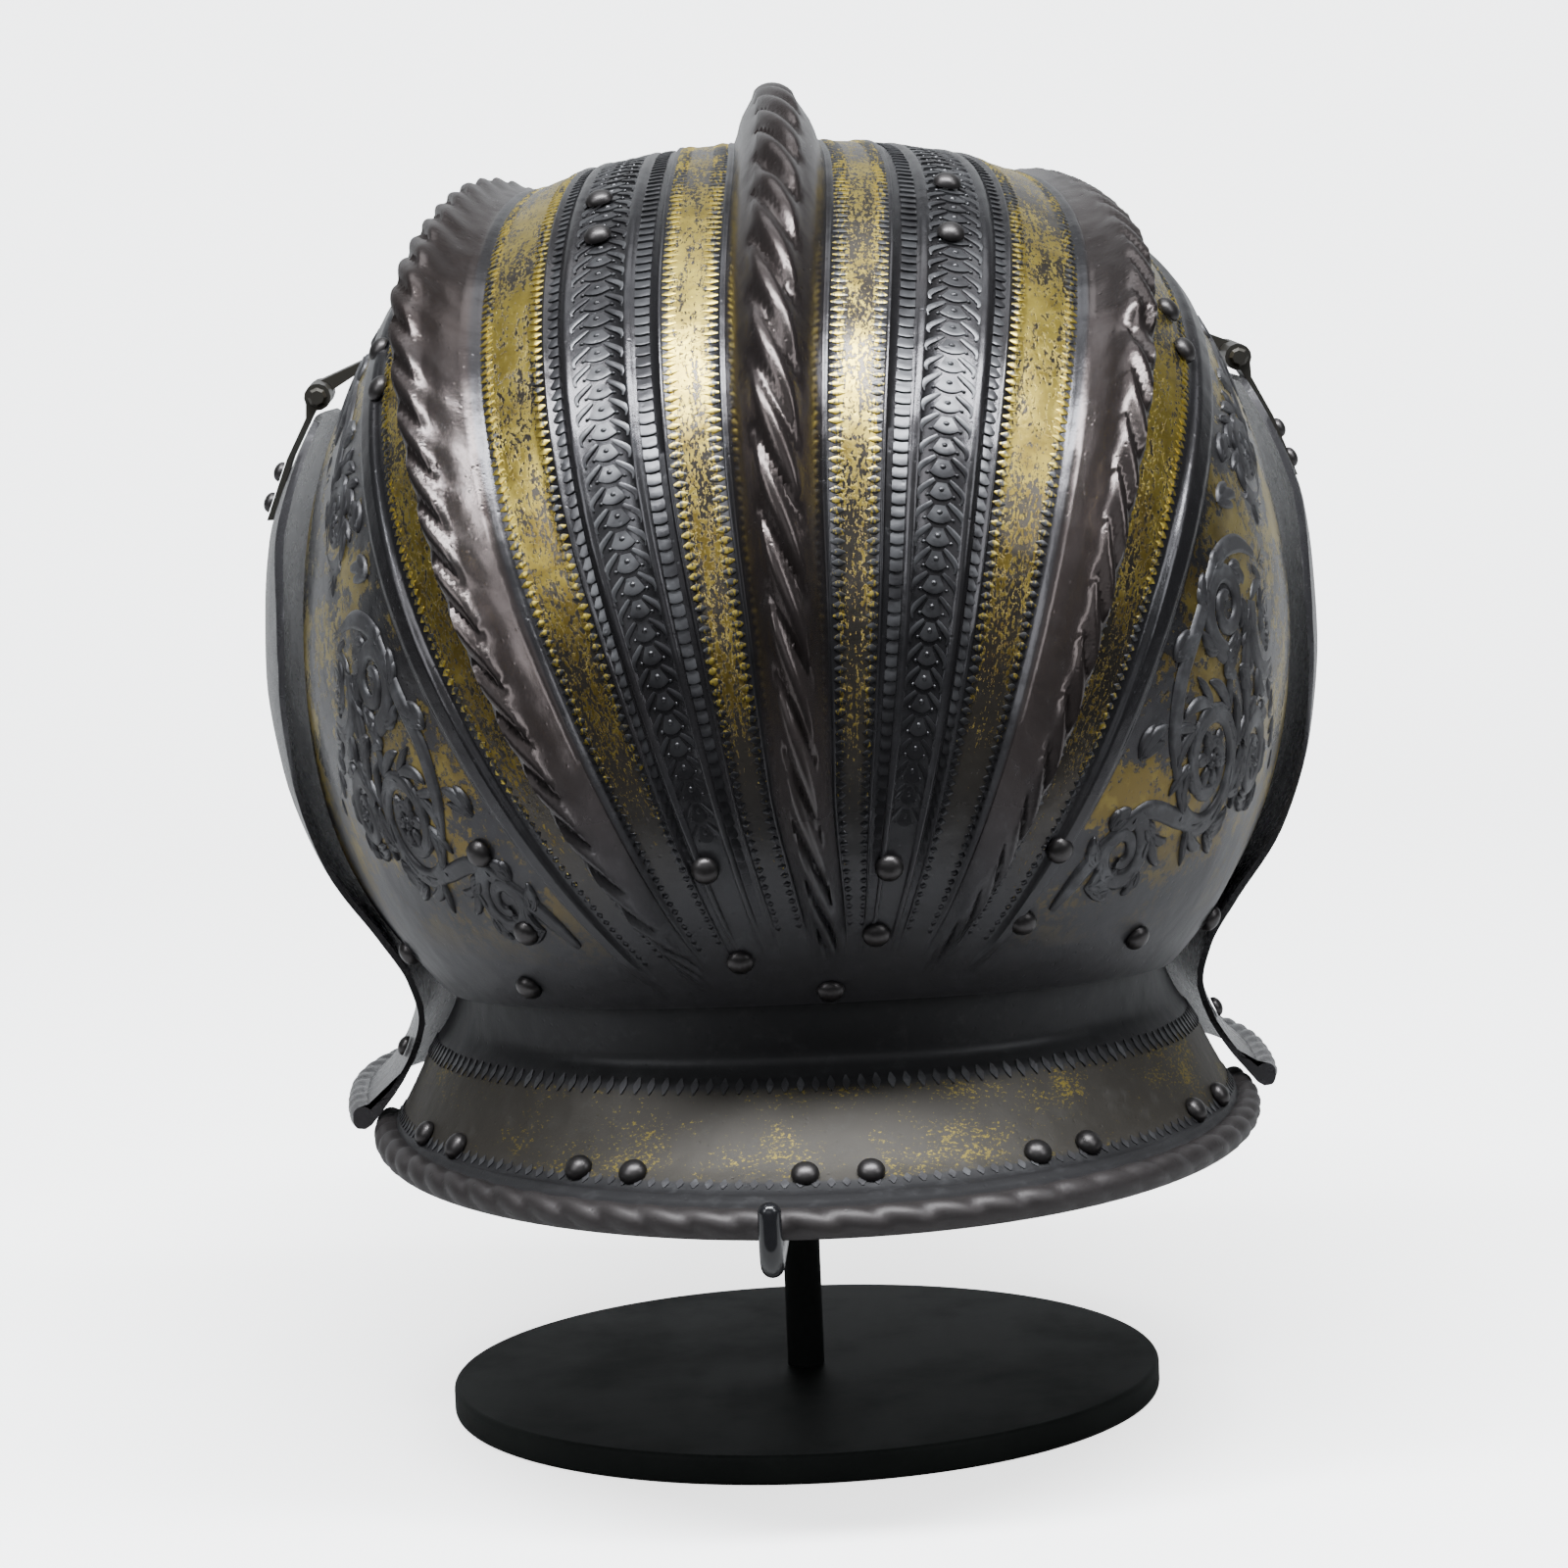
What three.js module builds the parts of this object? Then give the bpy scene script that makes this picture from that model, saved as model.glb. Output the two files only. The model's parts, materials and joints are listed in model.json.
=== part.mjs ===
// Parade helmet with three roped combs, standing on a plain display stand.
// Millimetres, +Z up, -Y the face side, +X the wearer's left, z = 0 under the stand's disc.
import * as THREE from 'three';
import { mergeVertices } from 'three/addons/utils/BufferGeometryUtils.js';

const deg = Math.PI / 180;

// Stand
const discRadius = 79;
const discThickness = 6.5;
const discEdgeRound = 0.8;
const postRadius = 4.1;
const padRadius = 24;
const padThickness = 7;
const padDomeRadius = 80;
const padSeatGap = 0.2;
const hookRodRadius = 2.35;
const hookBendRadius = 6;
const hookOffsetAngle = 4.5 * deg;
const hookTipRise = 8.5;
const hookDrop = 2;

// Helmet on the stand: its middle plane stands a little to the wearer's right of the post
const helmetShiftX = -4;
const fitGap = 0.35;

// Skull: outer surface without its combs
const skullHalfWidth = 104;
const skullBackDepth = 124;
const skullFrontDepth = 118;
const skullRise = 107;
const skullDrop = 100;
const skullWidestLevel = 172;
const skullSideFullness = 2.45;
const skullProfileFullness = 2.15;
const skullThickness = 1.5;

// Poles where the combs and bands run together, as shares of the depths, rise and drop
const rearPoleDepthShare = 0.766;
const rearPoleDropShare = 1.1;
const frontPoleDepthShare = 0.949;
const frontPoleRiseShare = 0.168;

// Lower edge of the skull behind, and its sloping edge at the face
const neckEdgeDropShare = 0.75;
const neckEdgeSlope = 0.088;
const faceEdgeForwardShare = 0.04;
const faceEdgeSlope = -0.936;
const skullSideAngle = 100;
// Where the search for the edges starts and ends, as angles from the rear pole
const backSearchPolar = 4;
const sideSearchPolar = 90;
const frontSearchPolar = 176;
const crownSearchPolar = 78;

// Combs: angle about the pole axis, greatest height, and share of it along the comb
const centreCombHeight = 13;
const sideCombHeight = 13;
const sideCombAngle = 26;
const centreCombRun = [
  [25, 0],
  [36, 0.5],
  [52, 1],
  [125, 1],
  [145, 0.5],
  [160, 0],
];
const sideCombRun = [
  [26, 0],
  [38, 0.55],
  [56, 1],
  [75, 0.95],
  [90, 0.8],
  [106, 0.44],
  [130, 0.22],
  [152, 0],
];
// The whole fan bows to the wearer's left behind, and the centre comb's tip back again
const fanLean = 2.7;
const fanLeanStart = 112;
const fanLeanFull = 62;
const fanLeanWidth = 75;
const centreTipBend = 3.2;
// Section of a comb: angle from its crest, share of height outside, share of height of the hollow
const centreCombSection = [
  [-3.8, 0, 0],
  [-2.7, 0.5, 0.02],
  [-1.5, 0.87, 0.6],
  [0, 1, 0.78],
  [1.5, 0.87, 0.6],
  [2.7, 0.5, 0.02],
  [3.8, 0, 0],
];
const sideCombSection = [
  [-2.9, 0, 0],
  [-1.3, 0.4, 0.12],
  [-0.2, 0.92, 0.62],
  [1.2, 0.96, 0.68],
  [2.4, 0.45, 0.06],
  [3.5, 0, 0],
];
// Columns of the skull between and beyond the combs, in degrees
const skullPlainColumns = [8.4, 13, 17.8, 34.6, 41, 48, 56, 64, 72, 81, 90.5];
const skullRows = 26;

// Nape plate: rolled rim behind the neck
const napeRimHalfWidth = 97.2;
const napeRimBack = 135;
const napeRimLevel = 67.5;
const napeCentreY = 15;
const napeRollRadius = 3.3;
const napeThickness = 1.4;
const napeEndAngle = 96;
const napeColumns = 26;
// Rows down the nape plate: flare and drop as shares of neck edge to rim at the back,
// the same at the sides, and how far the plan has turned into the rim's ellipse
const napeRows = [
  [0, -0.18, -0.04, -0.26, 0],
  [-0.01, 0.03, 0, 0, 0],
  [-0.065, 0.3, 0.17, 0.23, 0.12],
  [0.013, 0.384, 0.28, 0.32, 0.2],
  [0.093, 0.423, 0.36, 0.38, 0.3],
  [0.398, 0.709, 0.66, 0.7, 0.7],
  [0.557, 0.833, 0.78, 0.82, 0.85],
  [0.716, 0.913, 0.86, 0.89, 0.95],
  [0.862, 0.944, 0.93, 0.94, 1],
];
const napeRivetRow = 6;
// Rows round a rolled edge: angles of the outer and inner point about the roll's centre
const rollRows = [
  [140, 195],
  [92, 232],
  [48, 270],
  [4, 312],
];

// Cheekpieces: how far they stand off the skull, the neck edge and the nape plate's rim
const cheekStandOff = 13.5;
const cheekWaistStandOff = 8.1;
const cheekRimStandOff = 3.8;
const cheekTopLevel = 222;
const cheekRimLevel = 70.7;
const cheekWidestForward = 28;
const cheekRearReach = 126;
const cheekFrontTrim = 10;
const cheekFullness = 2.3;
const cheekThickness = 1.5;
const cheekRollRadius = 2.6;
const cheekColumns = 12;
// Rows from the top down: share of the height, share of the way out from the waist to the
// widest place or to the rim, how far back and forward each row reaches as shares of its
// reach, and share of the widest place's Y
const cheekRows = [
  [1, 0.55, 0.1, 0.33, 1],
  [0.941, 0.706, 0.17, 0.4, 1],
  [0.829, 0.922, 0.28, 0.48, 1],
  [0.734, 0.98, 0.345, 0.57, 1],
  [0.628, 1, 0.355, 0.67, 1],
  [0.496, 0.902, 0.33, 0.77, 0.8],
  [0.364, 0.648, 0.28, 0.85, 0.6],
  [0.266, 0.287, 0.235, 0.87, 0.43],
  [0.196, 0.067, 0.235, 0.87, 0.43],
  [0.144, 0, 0.233, 0.87, 0.43],
  [0.091, 0.17, 0.23, 0.87, 0.43],
  [0.038, 0.541, 0.225, 0.87, 0.43],
];
const cheekWaistHeightShare = 0.144;

// Hinges at the top of the cheekpieces
const hingeForward = 36;
const hingeKnuckleLength = 12.3;
const hingeBarrelRadius = 3;
const hingePinRadius = 1.3;
const hingePinHeadRadius = 2.2;
const hingePinHeadLength = 1.4;
const hingeLeafThickness = 1.4;
const hingeRiseAboveCheek = 4.6;
const upperLeafReach = 21;
const lowerLeafReach = 27;

// Peak over the brow
// Peak's half width where it meets the skull's edge, as a share of the skull's
const peakEndShare = 0.596;
const peakReach = 44;
const peakBrowDrop = 1.5;
// How far past the peak's ends its outline would close, as a share of its half width
const peakOutlineShare = 1.05;
const peakThickness = 1.5;
const peakOverlap = 6;
const peakDip = 0.22;
const peakRollRadius = 2.4;
const peakColumns = 18;

// Rivets
const rivetRadius = 2.9;
const rivetHeight = 2.3;
const smallRivetRadius = 2.3;
// Skull rivets: angle from the rear pole and about the pole axis, left one then right one
const skullRivets = [
  ['crown_rear', 93.7, 14.4, 90.9, -11.9],
  ['crown_front', 100.3, 14.4, 99.7, -12.6],
  ['temple_rear', 92.5, 35.6, 89.2, -32.5],
  ['temple_front', 99.5, 36.2, 93.5, -31.3],
  ['back_upper', 38.2, 17.7, 36.7, -9.5],
  ['back_lower', 28.4, 18.6, 30, -9.5],
  ['panel_upper', 49.5, 45.8, 42.1, -33.4],
  ['panel_middle', 41.7, 49.7, 34.9, -35.5],
  ['panel_lower', 39.1, 61.4, 42, -60.2],
  ['panel_side', 64, 85.5, 61, -83],
];
const backMiddleRivet = [22.9, -0.8];
// Nape rivets: angle from the back, on each side
const napeRivets = [
  ['middle', 3.8],
  ['inner', 24.6],
  ['outer', 32.2],
  ['side_inner', 55.8],
  ['side_outer', 66.3],
];
const cheekFlangeRivetRow = 10;
const cheekFlangeRivetShare = 0.06;

// Materials
function metal(colour, roughness) {
  return new THREE.MeshStandardMaterial({ color: colour, roughness, metalness: 0.9 });
}
const darkSteel = metal(0x3a3230, 0.4);
const bandedSteel = metal(0x4a3b2a, 0.42);
const rivetSteel = metal(0x2a2626, 0.38);
const hingeSteel = metal(0x2e2a29, 0.45);
const standBlack = new THREE.MeshStandardMaterial({ color: 0x101110, roughness: 0.55, metalness: 0.3 });
const hookBlack = new THREE.MeshStandardMaterial({ color: 0x0c0c0d, roughness: 0.25, metalness: 0.4 });

const group = new THREE.Group();
group.name = 'parade_helmet';
const helmet = [];

function addMesh(name, geometry, material) {
  const mesh = new THREE.Mesh(geometry, material);
  mesh.name = name;
  group.add(mesh);
  return mesh;
}

function addHelmetMesh(name, geometry, material) {
  helmet.push(addMesh(name, geometry, material));
}

// Turns the faces over when a mapping has turned a solid inside out
function facingOut(geometry) {
  const index = geometry.index;
  const position = geometry.attributes.position;
  const a = new THREE.Vector3();
  const b = new THREE.Vector3();
  const c = new THREE.Vector3();
  let volume = 0;
  for (let i = 0; i < index.count; i += 3) {
    a.fromBufferAttribute(position, index.getX(i));
    b.fromBufferAttribute(position, index.getX(i + 1));
    c.fromBufferAttribute(position, index.getX(i + 2));
    volume += a.dot(b.cross(c));
  }
  if (volume < 0) {
    for (let i = 0; i < index.count; i += 3) {
      const first = index.getX(i);
      index.setX(i, index.getX(i + 1));
      index.setX(i + 1, first);
    }
  }
  geometry.computeVertexNormals();
  return geometry;
}

// Closed plate: a box of columns by rows whose two broad faces are laid on two surfaces
function plate(columnCount, rowCount, outer, inner) {
  const box = new THREE.BoxGeometry(1, 1, 1, columnCount, rowCount, 1);
  box.deleteAttribute('normal');
  box.deleteAttribute('uv');
  const solid = mergeVertices(box, 1e-5);
  const position = solid.attributes.position;
  for (let i = 0; i < position.count; i += 1) {
    const column = Math.round((position.getX(i) + 0.5) * columnCount);
    const row = Math.round((position.getY(i) + 0.5) * rowCount);
    const point = position.getZ(i) > 0 ? outer(column, row) : inner(column, row);
    position.setXYZ(i, point.x, point.y, point.z);
  }
  return facingOut(solid);
}

function mirrored(geometry) {
  const copy = geometry.clone();
  copy.scale(-1, 1, 1);
  return facingOut(copy.index ? copy : mergeVertices(copy));
}

function lathe(points, segments) {
  const turned = new THREE.LatheGeometry(points.map(([r, z]) => new THREE.Vector2(r, z)), segments);
  turned.rotateX(Math.PI / 2);
  turned.deleteAttribute('normal');
  turned.deleteAttribute('uv');
  return facingOut(mergeVertices(turned, 1e-4));
}

function smooth(from, to, value) {
  const share = THREE.MathUtils.clamp((value - from) / (to - from), 0, 1);
  return share * share * (3 - 2 * share);
}

// Skull surface
const rearPole = new THREE.Vector3(
  0,
  rearPoleDepthShare * skullBackDepth,
  skullWidestLevel - rearPoleDropShare * skullDrop,
);
const frontPole = new THREE.Vector3(
  0,
  -frontPoleDepthShare * skullFrontDepth,
  skullWidestLevel + frontPoleRiseShare * skullRise,
);
const poleAxis = frontPole.clone().sub(rearPole).normalize();
const poleUp = new THREE.Vector3(0, poleAxis.z, -poleAxis.y);
const poleSide = new THREE.Vector3(1, 0, 0);
const poleMiddle = rearPole.clone().add(frontPole).multiplyScalar(0.5);

function skullLevel(point) {
  const depth = point.y > 0 ? skullBackDepth : skullFrontDepth;
  const height = point.z > skullWidestLevel ? skullRise : skullDrop;
  const profile = Math.abs(point.y / depth) ** skullProfileFullness
    + Math.abs((point.z - skullWidestLevel) / height) ** skullProfileFullness;
  return Math.abs(point.x / skullHalfWidth) ** skullSideFullness
    + profile ** (skullSideFullness / skullProfileFullness) - 1;
}

function skullNormal(point) {
  const step = 0.05;
  const normal = new THREE.Vector3();
  for (const axis of ['x', 'y', 'z']) {
    const ahead = point.clone();
    const behind = point.clone();
    ahead[axis] += step;
    behind[axis] -= step;
    normal[axis] = skullLevel(ahead) - skullLevel(behind);
  }
  return normal.normalize();
}

function skullPoint(polar, around, lift) {
  const direction = poleUp.clone().multiplyScalar(Math.cos(around * deg))
    .addScaledVector(poleSide, Math.sin(around * deg))
    .multiplyScalar(Math.sin(polar * deg))
    .addScaledVector(poleAxis, -Math.cos(polar * deg));
  let near = 0;
  let far = 3 * skullBackDepth;
  for (let i = 0; i < 44; i += 1) {
    const middle = (near + far) / 2;
    if (skullLevel(poleMiddle.clone().addScaledVector(direction, middle)) < 0) near = middle;
    else far = middle;
  }
  const point = poleMiddle.clone().addScaledVector(direction, near);
  return point.addScaledVector(skullNormal(point), lift);
}

function skullSideX(y, z) {
  let near = 0;
  let far = 2 * skullHalfWidth;
  for (let i = 0; i < 40; i += 1) {
    const middle = (near + far) / 2;
    if (skullLevel(new THREE.Vector3(middle, y, z)) < 0) near = middle;
    else far = middle;
  }
  return near;
}

const neckEdgeLevel = skullWidestLevel - neckEdgeDropShare * skullDrop;
const faceEdgeStartY = faceEdgeForwardShare * skullBackDepth;

function aboveNeckEdge(point) {
  return point.z - (neckEdgeLevel + neckEdgeSlope * point.y);
}

function aboveFaceEdge(point) {
  return point.z - (neckEdgeLevel + faceEdgeSlope * (point.y - faceEdgeStartY));
}

// Angle about the pole axis after the bow of the fan
function leaned(polar, around) {
  const width = 1 - smooth(fanLeanWidth * 0.55, fanLeanWidth, Math.abs(around));
  const lean = fanLean * smooth(fanLeanStart, fanLeanFull, polar) * width;
  const tip = (1 - smooth(3, 14, Math.abs(around))) * (1 - smooth(24, 44, polar));
  return around + lean - centreTipBend * tip;
}

function edgePolar(around, test, outside, inside) {
  let off = outside;
  let on = inside;
  for (let i = 0; i < 30; i += 1) {
    const middle = (off + on) / 2;
    if (test(skullPoint(middle, leaned(middle, around), 0)) < 0) off = middle;
    else on = middle;
  }
  return on;
}

function sectionShare(section, angle, field) {
  for (let i = 1; i < section.length; i += 1) {
    const [from] = section[i - 1];
    const [to] = section[i];
    if (angle >= from && angle <= to) {
      return THREE.MathUtils.lerp(section[i - 1][field], section[i][field], (angle - from) / (to - from));
    }
  }
  return 0;
}

// Height of the combs above the plain surface; field 1 outside, field 2 in their hollow
function combLift(polar, around, field) {
  const side = Math.abs(around) - sideCombAngle;
  const centre = sectionShare(centreCombRun, polar, 1) * sectionShare(centreCombSection, around, field);
  const outer = sectionShare(sideCombRun, polar, 1) * sectionShare(sideCombSection, side, field);
  return centreCombHeight * centre + sideCombHeight * outer;
}

// Skull plate
const halfColumns = [
  ...centreCombSection.map(([angle]) => angle).filter((angle) => angle >= 0),
  ...sideCombSection.map(([angle]) => sideCombAngle + angle),
  ...skullPlainColumns,
  skullSideAngle,
].sort((a, b) => a - b);
const skullColumns = [...halfColumns.slice(1).map((angle) => -angle).reverse(), ...halfColumns];
const skullSpans = skullColumns.map((around) => [
  edgePolar(around, aboveNeckEdge, backSearchPolar, sideSearchPolar),
  edgePolar(around, aboveFaceEdge, frontSearchPolar, crownSearchPolar),
]);

function skullRowPolar(column, row) {
  const [from, to] = skullSpans[column];
  return THREE.MathUtils.lerp(from, to, row / skullRows);
}

function skullOutside(column, row) {
  const polar = skullRowPolar(column, row);
  const around = skullColumns[column];
  return skullPoint(polar, leaned(polar, around), combLift(polar, around, 1));
}

function skullInside(column, row) {
  const polar = skullRowPolar(column, row);
  const around = skullColumns[column];
  return skullPoint(polar, leaned(polar, around), combLift(polar, around, 2) - skullThickness);
}

addHelmetMesh('skull', plate(skullColumns.length - 1, skullRows, skullOutside, skullInside), bandedSteel);

// Nape plate: direction theta is measured from the back, about a centre inside the neck
function necklineRadius(theta) {
  let near = 0;
  let far = 2 * skullBackDepth;
  for (let i = 0; i < 40; i += 1) {
    const middle = (near + far) / 2;
    const y = napeCentreY + middle * Math.cos(theta);
    const point = new THREE.Vector3(middle * Math.sin(theta), y, neckEdgeLevel + neckEdgeSlope * y);
    if (skullLevel(point) < 0) near = middle;
    else far = middle;
  }
  return near;
}

function ellipseRadius(halfWidth, depth, theta) {
  return 1 / Math.hypot(Math.sin(theta) / halfWidth, Math.cos(theta) / depth);
}

// Middle of the nape plate's upper edge stands inside the skull by its thickness and the fit gap
const neckInset = skullThickness + 2 * fitGap;
const rimSideReach = napeRimHalfWidth - napeRollRadius;
const rimBackReach = napeRimBack - napeCentreY - napeRollRadius;

function napeProfile(theta) {
  const toBack = Math.max(0, Math.cos(theta)) ** 1.5;
  const neck = necklineRadius(theta) - neckInset;
  const neckSide = necklineRadius(Math.PI / 2) - neckInset;
  const neckBack = necklineRadius(0) - neckInset;
  const neckLevel = neckEdgeLevel + neckEdgeSlope * (napeCentreY + neck * Math.cos(theta));
  const outer = napeRows.map(([flareBack, dropBack, flareSide, dropSide, turned]) => {
    const reachSide = THREE.MathUtils.lerp(neckSide, rimSideReach, flareSide);
    const reachBack = THREE.MathUtils.lerp(neckBack, rimBackReach, flareBack);
    const flare = THREE.MathUtils.lerp(reachSide - neckSide, reachBack - neckBack, toBack);
    const drop = THREE.MathUtils.lerp(dropSide, dropBack, toBack);
    const radius = THREE.MathUtils.lerp(neck + flare, ellipseRadius(reachSide, reachBack, theta), turned);
    return new THREE.Vector2(radius, THREE.MathUtils.lerp(neckLevel, napeRimLevel, drop));
  });
  const rollCentre = new THREE.Vector2(ellipseRadius(rimSideReach, rimBackReach, theta), napeRimLevel);
  return rolledProfile(outer, napeThickness, rollCentre, napeRollRadius);
}

// Outer and inner points of a plate's section ending in a roll; x is reach, y is height
function rolledProfile(outer, thickness, rollCentre, rollRadius) {
  const inner = outer.map((point, i) => {
    const before = outer[Math.max(i - 1, 0)];
    const after = i + 1 < outer.length ? outer[i + 1] : rollCentre;
    const along = after.clone().sub(before).normalize();
    return point.clone().add(new THREE.Vector2(along.y, -along.x).multiplyScalar(thickness));
  });
  const onRoll = (angle) => rollCentre.clone().add(
    new THREE.Vector2(Math.cos(angle * deg), Math.sin(angle * deg)).multiplyScalar(rollRadius),
  );
  return {
    outer: [...outer, ...rollRows.map(([angle]) => onRoll(angle))],
    inner: [...inner, ...rollRows.map(([, angle]) => onRoll(angle))],
  };
}

function napePoint(theta, radial) {
  return new THREE.Vector3(
    radial.x * Math.sin(theta),
    napeCentreY + radial.x * Math.cos(theta),
    radial.y,
  );
}

const napeTheta = (column) => (2 * column / napeColumns - 1) * napeEndAngle * deg;
const napeProfiles = Array.from({ length: napeColumns + 1 }, (_, column) => napeProfile(napeTheta(column)));
const napeRowCount = napeRows.length + rollRows.length - 1;
addHelmetMesh('nape_plate', plate(
  napeColumns,
  napeRowCount,
  (column, row) => napePoint(napeTheta(column), napeProfiles[column].outer[row]),
  (column, row) => napePoint(napeTheta(column), napeProfiles[column].inner[row]),
), darkSteel);

// Cheekpieces
const cheekHalfWidth = skullHalfWidth + cheekStandOff;
const cheekWaistHalfWidth = necklineRadius(Math.PI / 2) + cheekWaistStandOff;
const cheekRimHalfWidth = napeRimHalfWidth + cheekRimStandOff;
const cheekWidestY = -cheekWidestForward;
const cheekOuter = cheekRows.map(([height, width]) => new THREE.Vector2(
  THREE.MathUtils.lerp(
    cheekWaistHalfWidth,
    height > cheekWaistHeightShare ? cheekHalfWidth : cheekRimHalfWidth,
    width,
  ),
  THREE.MathUtils.lerp(cheekRimLevel, cheekTopLevel, height),
));
const cheekRollCentre = new THREE.Vector2(cheekRimHalfWidth, cheekRimLevel);
const cheekSection = rolledProfile(cheekOuter, cheekThickness, cheekRollCentre, cheekRollRadius);

// Point at a share of the way from the rear edge to the front edge of a row
function cheekPoint(share, row, radial) {
  const [, , rear, front, widest] = cheekRows[Math.min(row, cheekRows.length - 1)];
  const from = -Math.asin(rear ** (cheekFullness / 2));
  const to = Math.asin(front ** (cheekFullness / 2));
  const angle = THREE.MathUtils.lerp(from, to, share);
  const reach = Math.abs(Math.sin(angle)) ** (2 / cheekFullness);
  const depth = angle < 0 ? cheekRearReach : -(radial.x - cheekFrontTrim);
  return new THREE.Vector3(
    radial.x * Math.cos(angle) ** (2 / cheekFullness),
    cheekWidestY * widest + depth * reach,
    radial.y,
  );
}

const cheekRowCount = cheekSection.outer.length - 1;
const cheekPlate = plate(
  cheekColumns,
  cheekRowCount,
  (column, row) => cheekPoint(column / cheekColumns, row, cheekSection.outer[row]),
  (column, row) => cheekPoint(column / cheekColumns, row, cheekSection.inner[row]),
);
addHelmetMesh('cheekpiece_left', cheekPlate, darkSteel);
addHelmetMesh('cheekpiece_right', mirrored(cheekPlate), darkSteel);

// Outer side of the cheekpiece at the hinge, by height
function cheekSideX(z) {
  for (let i = 1; i < cheekOuter.length; i += 1) {
    const above = cheekOuter[i - 1];
    const below = cheekOuter[i];
    if (z <= above.y && z >= below.y) {
      return THREE.MathUtils.lerp(below.x, above.x, (z - below.y) / (above.y - below.y));
    }
  }
  return cheekOuter[0].x;
}

// Hinges: a barrel along Y with a leaf bent up to the skull and a leaf down over the cheekpiece
const hingeCentreY = -hingeForward;
const hingeX = cheekOuter[0].x - hingeBarrelRadius * 0.3;
const hingeZ = cheekTopLevel + hingeRiseAboveCheek;
const hingeEndGap = fitGap / 2;

function leaf(outline, firstAngle, lastAngle, fromY) {
  const shape = new THREE.Shape();
  shape.absarc(hingeX, hingeZ, hingeBarrelRadius, firstAngle * deg, lastAngle * deg, false);
  outline.forEach(([x, z]) => shape.lineTo(x, z));
  shape.closePath();
  const bore = new THREE.Path();
  bore.absarc(hingeX, hingeZ, hingePinRadius + fitGap, 0, 2 * Math.PI, true);
  shape.holes.push(bore);
  const solid = new THREE.ExtrudeGeometry(shape, {
    depth: hingeKnuckleLength,
    bevelEnabled: false,
    curveSegments: 6,
  });
  solid.rotateX(Math.PI / 2);
  solid.translate(0, fromY + hingeKnuckleLength, 0);
  solid.deleteAttribute('normal');
  solid.deleteAttribute('uv');
  return facingOut(mergeVertices(solid, 1e-4));
}

const upperLeafY = hingeCentreY - hingeEndGap - hingeKnuckleLength;
const lowerLeafY = hingeCentreY + hingeEndGap;
const leafLevels = [0.42, 0.6, 0.8, 1].map((share) => hingeZ + share * upperLeafReach);
const leafSkullX = (z) => skullSideX(hingeCentreY - hingeEndGap, z) + fitGap;
const upperOuter = leafLevels.map((z) => [leafSkullX(z) + hingeLeafThickness, z]);
const upperInner = leafLevels.map((z) => [leafSkullX(z), z - 0.3 * hingeLeafThickness]).reverse();
const upperLeaf = leaf([...upperOuter, ...upperInner], 165, 455, upperLeafY);
addHelmetMesh('hinge_leaf_upper_left', upperLeaf, hingeSteel);
addHelmetMesh('hinge_leaf_upper_right', mirrored(upperLeaf), hingeSteel);

const lowerLevels = [0.17, 0.5, 0.75, 1].map((share) => hingeZ - share * lowerLeafReach);
const leafCheekX = (z) => cheekSideX(z) + 1.5 * fitGap;
const lowerInner = lowerLevels.map((z) => [leafCheekX(z), z]);
const lowerOuter = lowerLevels.map((z) => [leafCheekX(z) + hingeLeafThickness, z]).reverse();
const lowerLeaf = leaf([...lowerInner, ...lowerOuter], -28, 278, lowerLeafY);
addHelmetMesh('hinge_leaf_lower_left', lowerLeaf, hingeSteel);
addHelmetMesh('hinge_leaf_lower_right', mirrored(lowerLeaf), hingeSteel);

const pinHalf = hingeEndGap + hingeKnuckleLength + fitGap;
const pin = lathe([
  [0, -pinHalf - hingePinHeadLength],
  [hingePinHeadRadius * 0.7, -pinHalf - hingePinHeadLength],
  [hingePinHeadRadius, -pinHalf - hingePinHeadLength * 0.5],
  [hingePinHeadRadius, -pinHalf],
  [hingePinRadius, -pinHalf],
  [hingePinRadius, pinHalf],
  [hingePinHeadRadius, pinHalf],
  [hingePinHeadRadius, pinHalf + hingePinHeadLength * 0.5],
  [hingePinHeadRadius * 0.7, pinHalf + hingePinHeadLength],
  [0, pinHalf + hingePinHeadLength],
], 8);
pin.rotateX(Math.PI / 2);
pin.translate(hingeX, hingeCentreY, hingeZ);
addHelmetMesh('hinge_pin_left', pin, hingeSteel);
addHelmetMesh('hinge_pin_right', mirrored(pin), hingeSteel);

// Peak: laps over the brow edge of the skull, then runs forward to a rolled edge
function peakEdge(around) {
  const polar = edgePolar(around, aboveFaceEdge, frontSearchPolar, crownSearchPolar);
  return { polar, point: skullPoint(polar, leaned(polar, around), 0) };
}

// Angle about the pole axis at which the skull's edge is as wide as the peak's ends
function peakEndAngle() {
  let inner = 0;
  let outer = skullSideAngle;
  for (let i = 0; i < 30; i += 1) {
    const middle = (inner + outer) / 2;
    if (peakEdge(middle).point.x < peakEndShare * skullHalfWidth) inner = middle;
    else outer = middle;
  }
  return inner;
}

const peakHalfAngle = peakEndAngle();
const peakHalfWidth = peakOutlineShare * peakEdge(peakHalfAngle).point.x;

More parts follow.
